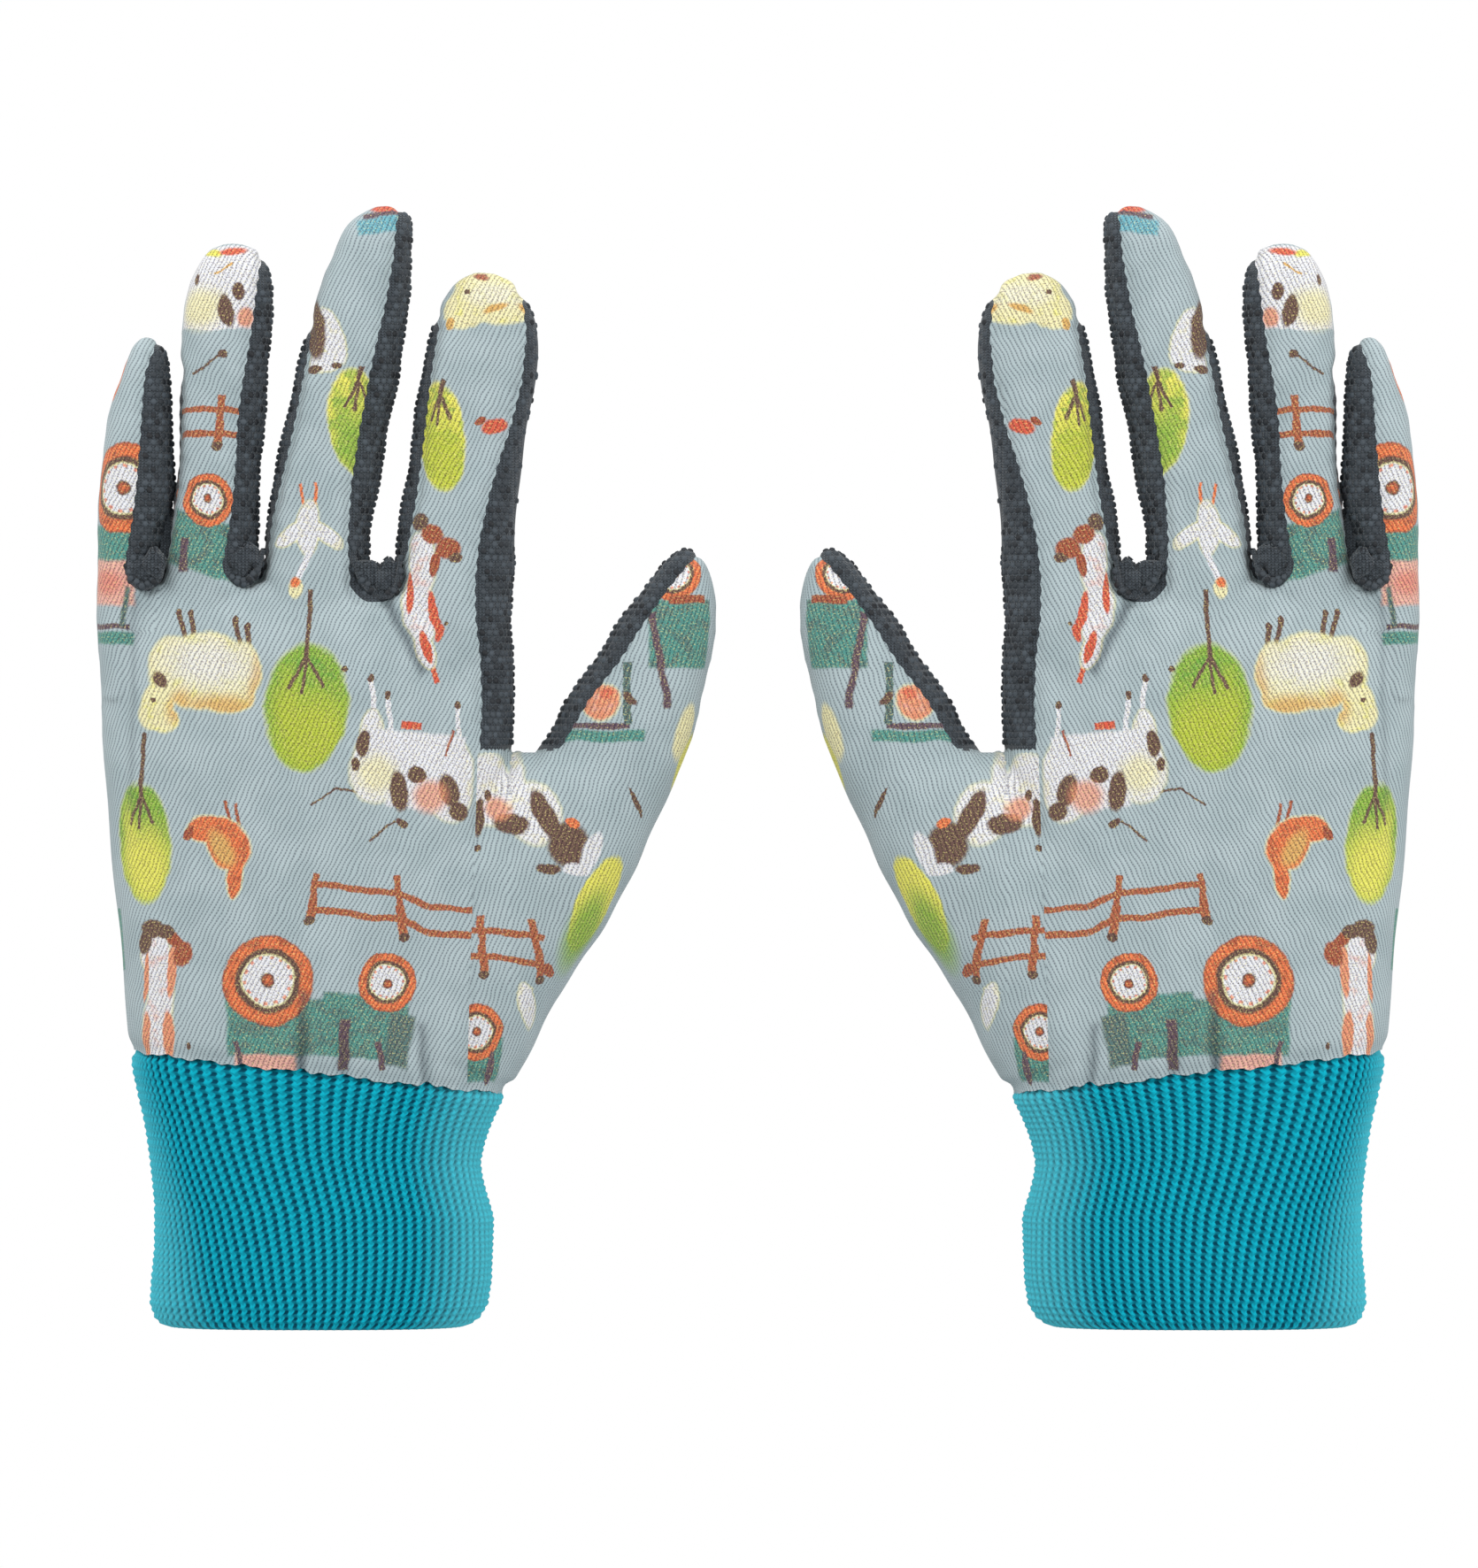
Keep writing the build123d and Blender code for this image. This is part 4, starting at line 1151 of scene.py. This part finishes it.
def knit_material(name):
    """Dark plain knit: rows of small loops."""
    m, g, shader, p = fabric(name)
    x, z, _ = g.split(p)
    wale = g.math("ABSOLUTE", g.math("SINE", g.math("MULTIPLY", x, pi / 0.62)))
    loop = g.math("SINE", g.math("MULTIPLY", g.math("ADD", z, g.math("MULTIPLY", wale, 0.28)), 2 * pi / 0.5))
    height = g.math("ADD", g.math("MULTIPLY", loop, 0.5), g.math("MULTIPLY", wale, 0.8))
    speck = g.noise(p, 3.2, 3.0, 0.7)
    uneven = g.remap(speck, 0.3, 0.7, -0.2, 0.35, "LINEAR")
    # painted shade: the knit is darker between its loops and lighter on their tops
    tone = g.math("ADD", g.remap(height, -0.5, 1.3, 0.0, 0.7, "LINEAR"), uneven)
    g.fill(shader, {
        "Base Color": g.mix(g.math("MINIMUM", tone, 1.0), rgb(17, 21, 25), rgb(82, 90, 97)),
        "Roughness": 0.88, "Specular IOR Level": 0.28, "Sheen Weight": 0.25, "Sheen Roughness": 0.45,
        "Normal": bump(g, g.math("ADD", height, speck), 0.8, 0.00014),
    })
    return m


def dot_material(name):
    m, g, shader, p = fabric(name)
    speck = g.noise(p, 2.8, 3.0, 0.7)
    g.fill(shader, {
        "Base Color": g.mix(g.remap(speck, 0.38, 0.62), rgb(19, 23, 28), rgb(68, 76, 83)),
        "Roughness": g.remap(speck, 0.3, 0.7, 0.55, 0.72, "LINEAR"), "Specular IOR Level": 0.4,
        "Normal": bump(g, g.noise(p, 4.0, 2.0), 0.25, 0.00008),
    })
    return m


WALES = 92  # ribs round the cuff
STITCHES = 1.22  # height of one stitch
THREADS = 105  # loops of thread round the overlocked edge


def rib_material(name):
    """Turquoise rib, with painted shade in its valleys and holes and painted light on its ridges and towards
    its sides: the map counts wales across and stitches up.
    """
    m, g, shader, p = fabric(name)
    x, z, _ = g.split(p)
    turns = g.math("MULTIPLY", z, 2 * pi)
    bent = g.math("ADD", x, g.math("MULTIPLY", g.math("SINE", turns), 0.09))
    phase = g.math("ABSOLUTE", g.math("SUBTRACT", g.math("FRACT", bent), 0.5))
    ridge = g.remap(phase, 0.38, 0.2)
    loop = g.math("SINE", g.math("ADD", turns, g.math("MULTIPLY", phase, -10.0)))
    holes = g.remap(g.math("SINE", g.math("ADD", turns, 1.0)), 0.3, -0.5)
    strand = g.math("SINE", g.math("ADD", g.math("MULTIPLY", z, 19.0), g.math("MULTIPLY", phase, 40.0)))
    fuzz = g.noise(g.vector("MULTIPLY", p, (1.0, 0.7, 1.0)), 3.0, 3.0, 0.7)
    # painted shade and light: the rib is darkened in its valleys and holes and lightened along its ridges'
    # loops
    low = g.math("MULTIPLY", g.math("SUBTRACT", 1.0, ridge), g.math("MULTIPLY", holes, 0.55))
    high = g.math("MULTIPLY", ridge, g.remap(loop, -1.0, 0.8, 0.3, 0.9))
    uneven = g.remap(fuzz, 0.3, 0.7, -0.12, 0.14, "LINEAR")
    tone = g.math("ADD", g.math("SUBTRACT", g.math("ADD", high, 0.26), low), uneven, clamp=True)
    colour = g.mix(tone, rgb(0, 78, 100), rgb(6, 172, 194))
    # painted light: towards the cuff's two sides the rib turns a paler teal, for the light those sides catch
    side = g.math("ABSOLUTE", g.math("COSINE", g.math("MULTIPLY", x, 2 * pi / WALES)))
    colour = g.mix(g.remap(side, 0.62, 1.0, 0.0, 0.5), colour, rgb(104, 204, 216))
    soft = g.math("ADD", fuzz, g.math("MULTIPLY", loop, 0.3))
    height = g.math("ADD", g.math("MULTIPLY", strand, 0.25), soft)
    g.fill(shader, {
        "Base Color": colour, "Roughness": 0.9, "Specular IOR Level": 0.12, "Sheen Weight": 0.3,
        "Sheen Roughness": 0.4, "Sheen Tint": rgb(90, 210, 225), "Normal": bump(g, height, 0.5, 0.00012),
    })
    return m


def plain_material(name, dark, light, scale, rough):
    m, g, shader, p = fabric(name)
    x, z, _ = g.split(p)
    warp, weft = (g.math("SINE", g.math("MULTIPLY", along, scale)) for along in (x, z))
    weave = g.math("MULTIPLY", warp, weft)
    g.fill(shader, {
        "Base Color": g.mix(g.remap(weave, -1, 1), dark, light), "Roughness": rough,
        "Normal": bump(g, weave, 0.5, 0.0001),
    })
    return m


REVERSE = plain_material("twill_reverse", rgb(176, 184, 186), rgb(206, 212, 213), 7.0, 0.9)
KNIT, DOTS = knit_material("dark_knit"), dot_material("grip_dots")
RIB = rib_material("turquoise_rib")
THREAD = plain_material("overlock_thread", rgb(40, 45, 50), rgb(88, 95, 100), 9.0, 0.8)
LABEL = plain_material("label_tape", rgb(214, 214, 208), rgb(240, 240, 236), 16.0, 0.6)


# ------------------------------------------------------------------ the pieces of one glove

knuckles = {}
for name in ("index", "middle", "ring", "little", "thumb"):
    j = joints[f"left_{name}_end"]
    origin = np.array(j["pos_m"]) / MM + np.array([HALF, 0, 0])
    knuckles[name] = (origin, np.array([j["axis"][2], 0.0, -j["axis"][0]]))
REACH = 10.0  # a digit's end piece begins this far before its knuckle


def finger_label(v):
    """Which digit a point belongs to: 0 is the hand, 1 to 4 the fingers, 5 the thumb."""
    x, z = v[:, 0], v[:, 2]
    label = np.zeros(len(v), int)
    best = np.full(len(v), 1e9)
    for k, rows in enumerate(FINGERS.values()):
        away = beside(rows, x, z)
        use = (z > 139) & (away < best)
        best = np.where(use, away, best)
        label = np.where(use, k + 1, label)
    return np.where((z > 99) & (z < 142) & (x > thumb_border(z)), 5, label)


def end_distance(cloth, name):
    """Positive on the part of a digit that is cut off as its end piece, from REACH before the knuckle
    onwards.
    """
    origin, along = knuckles[name]
    number = (list(FINGERS) + ["thumb"]).index(name) + 1
    g = (cloth.verts - origin) @ along + REACH
    return np.where(finger_label(cloth.verts) == number, g, -5.0)


def with_seam(cloth):
    """The cloth, its map carrying the distance to the printed edge as a third value."""
    cloth.uv = np.column_stack([cloth.uv, print_distance(cloth.verts)])
    return cloth


def dots_on(cloth, pitch=1.4, radius=0.63, height=0.3):
    """Small domes on the outer face, in a staggered grid over the map, clear of the seams."""
    tri_uv = cloth.uv[cloth.tris][:, :, :2]
    centre = tri_uv.mean(axis=1)
    row_height = pitch * 0.866
    row = np.round(centre[:, 1] / row_height)
    offset = np.where(row % 2 == 0, 0.0, pitch / 2)
    column = np.round((centre[:, 0] - offset) / pitch)
    grid = np.stack([column * pitch + offset, row * row_height], 1)
    a, b, c = tri_uv[:, 0], tri_uv[:, 1], tri_uv[:, 2]
    det = (b[:, 0] - a[:, 0]) * (c[:, 1] - a[:, 1]) - (c[:, 0] - a[:, 0]) * (b[:, 1] - a[:, 1])
    det = np.where(np.abs(det) < 1e-9, 1e-9, det)
    d = grid - a
    wb = (d[:, 0] * (c[:, 1] - a[:, 1]) - (c[:, 0] - a[:, 0]) * d[:, 1]) / det
    wc = ((b[:, 0] - a[:, 0]) * d[:, 1] - d[:, 0] * (b[:, 1] - a[:, 1])) / det
    w = np.stack([1 - wb - wc, wb, wc], 1)
    hit = (w > -1e-6).all(axis=1)
    t = cloth.tris[hit]
    w = w[hit][:, :, None]
    at = (cloth.verts[t] * w).sum(1)
    n = (cloth.normals[t] * w).sum(1)
    n /= np.linalg.norm(n, axis=1, keepdims=True)
    uv = (cloth.uv[t] * w).sum(1)
    clear = uv[:, 2] < -0.75
    at, n, uv = at[clear], n[clear], uv[clear]
    # one dot only where the map folds over and two would meet
    order = np.lexsort((at[:, 0], at[:, 2]))
    at, n, uv = at[order], n[order], uv[order]
    keep = np.ones(len(at), bool)
    for step in range(1, 14):
        gap = np.linalg.norm(at[step:] - at[:-step], axis=1)
        keep[step:] &= ~((gap < pitch * 0.72) & keep[:-step])
    at, n, uv = at[keep], n[keep], uv[keep]
    helper = np.where(np.abs(n[:, 2:3]) < 0.9, [[0.0, 0.0, 1.0]], [[1.0, 0.0, 0.0]])
    e1 = np.cross(n, helper)
    e1 /= np.linalg.norm(e1, axis=1, keepdims=True)
    e2 = np.cross(n, e1)
    sides = 6
    ang = np.arange(sides) * 2 * pi / sides
    tall = height * (1 + 0.35 * np.sin(at[:, :1] * 5.1 + at[:, 2:] * 3.7))
    rings = [(radius, 0.0, 0.0), (radius * 0.72, 0.72, 0.55), (0.0, 1.0, 1.0)]
    verts, normals = [], []
    for r, up, lift in rings:
        for a_k in ang if r > 0 else ang[:1]:
            out = e1 * cos(a_k) + e2 * sin(a_k)
            verts.append(at + out * r + n * (up * tall - 0.08 * (r == radius)))
            m = out * (1 - lift) + n * (lift + 0.35)
            normals.append(m / np.linalg.norm(m, axis=1, keepdims=True))
    count = 2 * sides + 1
    verts = np.stack(verts, 1).reshape(-1, 3)
    normals = np.stack(normals, 1).reshape(-1, 3)
    one = []
    for k in range(sides):
        m = (k + 1) % sides
        one += [(k, m, sides + m), (k, sides + m, sides + k), (sides + k, sides + m, 2 * sides)]
    one = np.array(one)
    tris = (one[None] + (np.arange(len(at)) * count)[:, None, None]).reshape(-1, 3)
    return Cloth(verts, normals, np.repeat(uv, count, axis=0), tris)


def facing_out(cloth):
    """Fixes the winding of a small mesh so that its triangles follow its normals."""
    t = cloth.tris
    n = np.cross(cloth.verts[t[:, 1]] - cloth.verts[t[:, 0]], cloth.verts[t[:, 2]] - cloth.verts[t[:, 0]])
    wrong = (n * cloth.normals[t].sum(1)).sum(1) < 0
    cloth.tris = np.where(wrong[:, None], t[:, ::-1], t)
    return cloth


def grid_cloth(points, closed_across, uv=None):
    """A Cloth over a grid of points (rows, columns, 3)."""
    rows, cols = points.shape[:2]
    index = np.arange(rows * cols).reshape(rows, cols)
    right = np.roll(index, -1, axis=1) if closed_across else index[:, 1:]
    left = index if closed_across else index[:, :-1]
    a, b, c, d = left[:-1], right[:-1], right[1:], left[1:]
    tris = np.concatenate([np.stack([a, b, c], -1).reshape(-1, 3), np.stack([a, c, d], -1).reshape(-1, 3)])
    verts = points.reshape(-1, 3)
    if uv is None:
        uv = np.stack(np.meshgrid(np.arange(cols), np.arange(rows)), -1).reshape(-1, 2).astype(float)
    uv = np.column_stack([uv.reshape(-1, 2), np.full(len(verts), -5.0)])
    return Cloth(verts, normals_of(verts, tris), uv, tris)


def tube(path, radii, count, wobble):
    """A round tube along a path, its ends closed by shrinking."""
    path = np.array(path, float)
    s = np.concatenate([[0], np.cumsum(np.linalg.norm(np.diff(path, axis=0), axis=1))])
    fine = np.linspace(0, s[-1], max(int(s[-1] / 0.35), 12))
    line = np.stack([np.interp(fine, s, path[:, k]) for k in range(3)], 1)
    for _ in range(12):
        line[1:-1] = 0.5 * line[1:-1] + 0.25 * (line[:-2] + line[2:])
    radius = np.interp(fine, s, radii)
    along = np.gradient(line, axis=0)
    along /= np.linalg.norm(along, axis=1, keepdims=True)
    side = np.cross(along, [0.0, 1.0, 0.0])
    side /= np.maximum(np.linalg.norm(side, axis=1, keepdims=True), 1e-6)
    other = np.cross(along, side)
    t = np.linspace(0, 2 * pi, count, endpoint=False)
    at = fine[:, None]
    bulge = 1 + wobble * np.sin(at * 2.1 + 2 * t[None]) + wobble * np.sin(at * 4.7 - t[None])
    r = radius[:, None] * bulge
    out = side[:, None] * np.cos(t)[None, :, None] + other[:, None] * np.sin(t)[None, :, None]
    points = line[:, None] + out * r[..., None]
    uv = np.stack(np.broadcast_arrays(t[None] * 1.2, fine[:, None]), -1)
    return grid_cloth(points, True, uv)


def ball(centre, sizes, turn, wobble):
    """A lumpy ball, for the gathered end of a sidewall."""
    u = np.linspace(0.02, pi - 0.02, 16)
    t = np.linspace(0, 2 * pi, 24, endpoint=False)
    r = 1 + wobble * np.sin(3 * t[None] + 2 * u[:, None]) + wobble * np.cos(5 * u[:, None] - 2 * t[None])
    x = np.sin(u)[:, None] * np.cos(t)[None] * r * sizes[0]
    y = np.sin(u)[:, None] * np.sin(t)[None] * r * sizes[1]
    z = np.cos(u)[:, None] * np.ones_like(t)[None] * r * sizes[2]
    c, s = cos(turn), sin(turn)
    points = np.stack([centre[0] + c * x + s * z, centre[1] + y, centre[2] - s * x + c * z], -1)
    return facing_out(grid_cloth(points, True, points[..., [0, 2]].copy()))


def crotch_rolls():
    """The gathered sidewalls that show between the fingers: a rolled rim with a bunched end inside it."""
    out = None
    for rim, lobes in (
        ([(-34.3, 139.0), (-34.4, 136.0), (-33.2, 132.9), (-30.8, 131.7), (-28.7, 133.2), (-27.8, 137.0)],
         [((-31.6, 1.6, 134.7), (3.2, 2.6, 2.6), 0.3), ((-29.4, 1.6, 135.6), (2.2, 3.2, 3.2), 0.0),
          ((-27.7, 6.6, 138.5), (1.5, 2.6, 7.4), 0.1)]),
        ([(-17.2, 140.0), (-17.0, 136.4), (-15.8, 133.3), (-13.4, 132.4), (-11.0, 134.2), (-9.9, 138.5)],
         [((-14.3, 1.6, 136.0), (2.6, 2.8, 3.0), 0.4), ((-12.2, 1.9, 137.2), (1.8, 2.6, 2.6), -0.3)]),
        ([(6.0, 141.0), (6.3, 136.0), (8.4, 132.2), (11.6, 129.9), (13.9, 131.6), (14.6, 137.5)],
         [((8.8, 1.6, 134.2), (3.2, 2.6, 2.4), 0.6), ((11.4, 1.6, 132.6), (2.6, 2.8, 2.8), 0.9),
          ((12.4, 2.0, 134.4), (1.9, 2.4, 2.6), 0.0)]),
    ):
        y = -7.4
        path = [(x, y + 0.10 * (z - 132) ** 1.3 if z > 132 else y, z) for x, z in rim]
        lumps = facing_out(tube(path, [0.4, 0.7, 0.85, 0.85, 0.75, 0.4], 16, 0.10))
        for (x, back, z), sizes, turn in lobes:
            lumps = lumps.join(ball((x, y + back, z), sizes, turn, 0.07))
        out = lumps if out is None else out.join(lumps)
    out.uv = np.column_stack([out.uv, np.full(len(out.verts), -9.0)])
    return out


# Cuff: height, left side, right side, depth.
CUFF = [
    (0.0, -26.8, 25.6, 28.6), (0.6, -28.6, 27.2, 30.2), (1.6, -29.5, 28.4, 31.4), (4, -30.3, 29.8, 32.2),
    (8.7, -30.1, 30.6, 32.4), (13.4, -29.6, 30.8, 32.2), (20.5, -29.5, 30.8, 32.0), (27.7, -30.3, 29.1, 31.8),
    (31, -30.8, 28.6, 31.8), (34.8, -31.5, 29.2, 32.0), (38, -32.4, 30.2, 32.2), (41.9, -33.3, 31.8, 32.6),
    (45, -33.8, 33.2, 33.0), (48.5, -34.0, 33.9, 33.0), (53, -33.4, 33.8, 32.6),
]


def cuff_cloth():
    """The rib cuff: a grid whose columns follow the wales, so that ribs and stitches are real relief."""
    rows_table = table(CUFF)
    per = 6
    columns = WALES * per
    top_rows = 150
    heights = np.linspace(0.0, CUFF_TOP, top_rows)
    outer = np.empty((top_rows, columns, 3))
    wale = np.arange(columns) / per
    for i, h in enumerate(heights):
        # rows follow the slanted seam at the top and the level hem at the bottom
        share = min(h / CUFF_Z, 1.0) ** 1.5
        left, right, deep = (np.interp(h, rows_table[:, 0], rows_table[:, k]) for k in (1, 2, 3))
        u, v = superellipse((right - left) / 2, deep / 2, CUFF_POWER, 720)
        u, v = np.append(u, u[0]), np.append(v, v[0])
        s = np.concatenate([[0], np.cumsum(np.hypot(np.diff(u), np.diff(v)))])
        s /= s[-1]
        # the wales lean on the little finger's half of the front and back
        q = (wale / WALES) % 1.0
        front = np.exp(-(((q - 0.65) / 0.105) ** 2))
        rear = np.exp(-(((q - 0.35) / 0.105) ** 2))
        turn = 0.07 * (front - rear) * np.clip((h - 4) / 44, 0, 1) ** 0.85
        pos = (q - turn) % 1.0
        x = np.interp(pos, s, u) + (left + right) / 2
        y = np.interp(pos, s, v)
        z = h - share * x * CUFF_SLOPE
        outer[i] = np.stack([x, y, z], 1)
    flat = grid_cloth(outer, True)
    normals = flat.normals.reshape(top_rows, columns, 3)
    stitch = heights / STITCHES
    phase = np.abs((wale[None] + 0.09 * np.sin(2 * pi * stitch)[:, None]) % 1.0 - 0.5)
    ridge = np.clip((0.42 - phase) / 0.30, 0, 1)
    ridge = ridge * ridge * (3 - 2 * ridge)
    loops = np.sin(2 * pi * (stitch[:, None] - 1.6 * phase)) * 0.16 * ridge
    ladder = np.sin(2 * pi * stitch[:, None] + 1.0) * 0.18 * (1 - ridge)
    relief = 0.52 * (ridge - 1) + loops + ladder
    uneven = 0.10 * np.sin(wale * 0.7 + 1.0)[None] * np.sin(heights * 0.4)[:, None]
    tuck = 1.15 * np.clip((heights - 44.0) / 1.5, 0, 1) + 2.3 * np.clip((heights - 46.0) / 3.4, 0, 1)
    fade = np.clip(heights / 1.2, 0.25, 1)[:, None]
    outer = outer + normals * ((relief + uneven) * fade - tuck[:, None])[..., None]
    uv = np.stack(np.broadcast_arrays(wale[None], stitch[:, None]), -1)
    outside = grid_cloth(outer, True, uv)
    # the folded-in layer: a smoother tube with the same wales
    inner_rows, inner_cols = 46, WALES * 3
    inside = np.empty((inner_rows, inner_cols, 3))
    pick = (np.arange(inner_cols) * columns // inner_cols)
    for i, h in enumerate(np.linspace(0.0, LINING_TOP, inner_rows)):
        k = min(int(h / CUFF_TOP * (top_rows - 1)), top_rows - 1)
        base = flat.verts.reshape(top_rows, columns, 3)[k][pick]
        n = normals[k][pick].copy()
        n[:, 2] = 0
        n /= np.linalg.norm(n, axis=1, keepdims=True)
        deep = 2.5 * min(1.0, 0.25 + h / 1.6) + 0.22 * np.cos(2 * pi * np.arange(inner_cols) / 3)[:, None]
        inside[i] = base - n * deep
    inner_wale = (np.arange(inner_cols) / 3.0)[None]
    inner_stitch = np.linspace(0, LINING_TOP, inner_rows)[:, None] / STITCHES
    uv_in = np.stack(np.broadcast_arrays(inner_wale, inner_stitch), -1)
    inner = grid_cloth(inside, True, uv_in)
    inner.tris = inner.tris[:, ::-1]
    inner.normals = -inner.normals
    # the fold at the hem, from the outer layer's lowest row to the inner one's
    out_row, in_row = outer[0][pick], inside[0]
    fold = np.array([out_row * (1 - share) + in_row * share for share in np.linspace(0, 1, 7)])
    uv_fold = np.stack(np.broadcast_arrays(inner_wale, np.linspace(0, -1.2, 7)[:, None]), -1)
    hem = grid_cloth(fold[::-1], True, uv_fold)
    return outside.join(inner).join(hem)


def band_cloth():
    """The overlocked edge inside, where the hand and the cuff are sewn together."""
    rows_table = table(HAND)
    turns = 420
    points = []
    t = np.linspace(0, 2 * pi, turns, endpoint=False)
    for k, up in enumerate(np.linspace(0.2, 4.2, 11)):
        h = CUFF_Z + up
        left, right, deep = (np.interp(h, rows_table[:, 0], rows_table[:, c]) for c in (1, 2, 3))
        inset = 3.6 + 0.25 * np.sin(t * THREADS + k * 0.9) + 0.25 * (k / 10 - 0.5) ** 2
        x, y = superellipse((right - left) / 2 - inset, deep / 2 - inset, HAND_POWER, turns)
        x = x + (left + right) / 2
        z = h - x * CUFF_SLOPE + 0.12 * np.sin(t * THREADS)
        points.append(np.stack([x, y, z], 1))
    sheet = grid_cloth(np.array(points), True)
    sheet.tris = sheet.tris[:, ::-1]
    sheet.normals = -sheet.normals
    return sheet.thick(0.45)


def label_cloth():
    """A blank woven tape hanging inside the cuff, curling a little at its lower edge."""
    low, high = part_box("left_care_label")
    low, high = np.array(low) / MM + [HALF, 0, 0], np.array(high) / MM + [HALF, 0, 0]
    xs = np.linspace(low[0], high[0], 25)
    zs = np.linspace(low[2], high[2], 41)
    x, z = np.meshgrid(xs, zs)
    drop = (high[2] - z) / (high[2] - low[2])
    curl = 0.9 * drop**2
    y = (low[1] + high[1]) / 2 - curl - 0.25 * np.sin(drop * 7) * drop + 0.15 * ((x - x.mean()) / 7) ** 2
    uv = np.stack([x, z], -1)
    sheet = grid_cloth(np.stack([x, y, z], -1), False, uv)
    return sheet.thick(0.3)


def build_pieces():
    """A left glove's panels as (name, cloth, node), and the digits' ends by digit and face."""
    x = skin.verts[:, 0]
    cuff_plane = skin.verts[:, 2] - (CUFF_Z - x * CUFF_SLOPE)
    cuff_plane -= 0.22 * np.sin(x * 0.9 + 0.5) + 0.14 * np.sin(x * 2.3)
    for at in PLEATS:
        cuff_plane -= 0.9 * np.exp(-(((x - at) / 1.1) ** 2)) * (skin.verts[:, 1] < 0)
    whole, _ = with_seam(skin).cut(cuff_plane)
    printed, dark = whole.cut(whole.uv[:, 2])
    out = []
    ends = {}
    for kind, cloth in (("back", printed), ("front", dark)):
        for name in list(FINGERS) + ["thumb"]:
            end, cloth = cloth.cut(end_distance(cloth, name))
            ends[name, kind] = end
        x, z = cloth.verts[:, 0], cloth.verts[:, 2]
        edge = x - thumb_border(z)
        area = np.where(z < CROTCH_Z, np.maximum(np.minimum(x - seam_x(z), CROTCH_Z - z), edge), edge)
        thumb, cloth = cloth.cut(area)
        if kind == "back":
            out.append(("thumb_back", thumb, "thumb_back_panel"))
            out.append(("back", cloth, "back_panel"))
        else:
            out.append(("thumb_front", thumb, "thumb_front_panel"))
            x, z = cloth.verts[:, 0], cloth.verts[:, 2]
            inside = np.minimum(np.minimum(x + 26.3, 11.4 - x), z - 124)
            insert, cloth = cloth.cut(np.where(z > 120, inside, -4.0))
            out.append(("middle_fingers_front", insert, "middle_fingers_front_panel"))
            out.append(("palm", cloth, "palm_panel"))
    return out, ends


def dotted(name, solid, cloth, side):
    """A dark knit piece with the grip dots of its outer face."""
    obj = place(name, solid.join(facing_out(dots_on(cloth))), side, KNIT, "dotted_knit")
    obj.data.materials.append(DOTS)
    index = np.zeros(len(obj.data.polygons), np.int32)
    index[len(solid.tris):] = 1
    obj.data.polygons.foreach_set("material_index", index)
    return obj


def dressed(cloth, name, side, kind):
    """One panel with its thickness, its print or its grip dots, and its materials."""
    if kind == "front":
        return dotted(name, cloth.thick(), cloth, side)
    obj = place(name, cloth.thick(), side, REVERSE, "printed_twill")
    print_on(obj, cloth, "thumb" in name)
    return obj


panels, ends = build_pieces()
cuff, band, tag, rolls = cuff_cloth(), band_cloth(), label_cloth(), crotch_rolls()
for side in ("left", "right"):
    hand = f"{side}_hand"
    for name, cloth, node in panels:
        kind = "front" if "front" in name or name == "palm" else "back"
        obj = dressed(cloth, name + "_cloth", side, kind)
        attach(obj, hand)
        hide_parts(f"{side}_{node}")
    for (name, kind), cloth in ends.items():
        obj = dressed(cloth, f"{name}_{kind}_cloth", side, kind)
        origin, along = knuckles[name]
        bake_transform(obj)
        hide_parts(f"{side}_{name}_tip_{kind}")
    for name, cloth, material, slot, node in (
        ("cuff_rib", cuff, RIB, "rib_knit", "knit_cuff"),
        ("overlock_band", band, THREAD, "seam_thread", "cuff_overlock_seam"),
        ("blank_label", tag, LABEL, "label_tape", "care_label"),
    ):
        obj = place(name, cloth, side, material, slot)
        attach(obj, hand)
        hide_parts(f"{side}_{node}")
    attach(dotted("crotch_gathers", rolls, rolls, side), hand)

# ------------------------------------------------------------------ camera, light and backdrop

LENS = 200
DISTANCE = 1.557
OFF_CENTRE = 0.0034

scene = bpy.context.scene
middle_z = (cad_box[0][2] + cad_box[1][2]) / 2
camera = bpy.data.cameras.new("camera")
camera.lens = LENS
eye = bpy.data.objects.new("camera", camera)
eye.location = (-OFF_CENTRE, -DISTANCE, middle_z - OFF_CENTRE)
eye.rotation_euler = (pi / 2, 0, 0)
scene.collection.objects.link(eye)
scene.camera = eye


def area_light(name, place_at, aim, size, power):
    light = bpy.data.lights.new(name, "AREA")
    light.shape = "RECTANGLE"
    light.size, light.size_y = size
    light.energy = power
    lamp = bpy.data.objects.new(name, light)
    lamp.location = place_at
    lamp.rotation_euler = (Vector(aim) - Vector(place_at)).to_track_quat("-Z", "Y").to_euler()
    scene.collection.objects.link(lamp)


area_light("key", (-0.35, -0.75, 0.75), (0, 0, 0.1), (0.7, 0.5), 4.5)
area_light("fill", (0.6, -0.8, 0.2), (0, 0, 0.1), (0.6, 0.6), 3.0)
for side in (-1, 1):
    area_light("side", (side * 1.0, -0.25, 0.12), (0, 0, 0.09), (0.4, 0.7), 2.6)
area_light("top", (0.0, 0.1, 0.9), (0, 0, 0.1), (0.9, 0.5), 3.0)

world = bpy.data.worlds.new("studio")
scene.world = world
world.use_nodes = True
w = Graph(world.node_tree)
background = world.node_tree.nodes["Background"]
path = w.node("ShaderNodeLightPath")
w.put(background.inputs["Color"], w.mix(path.outputs["Is Camera Ray"], (0.56, 0.57, 0.58, 1), (1, 1, 1, 1)))
scene.view_settings.view_transform = "Standard"
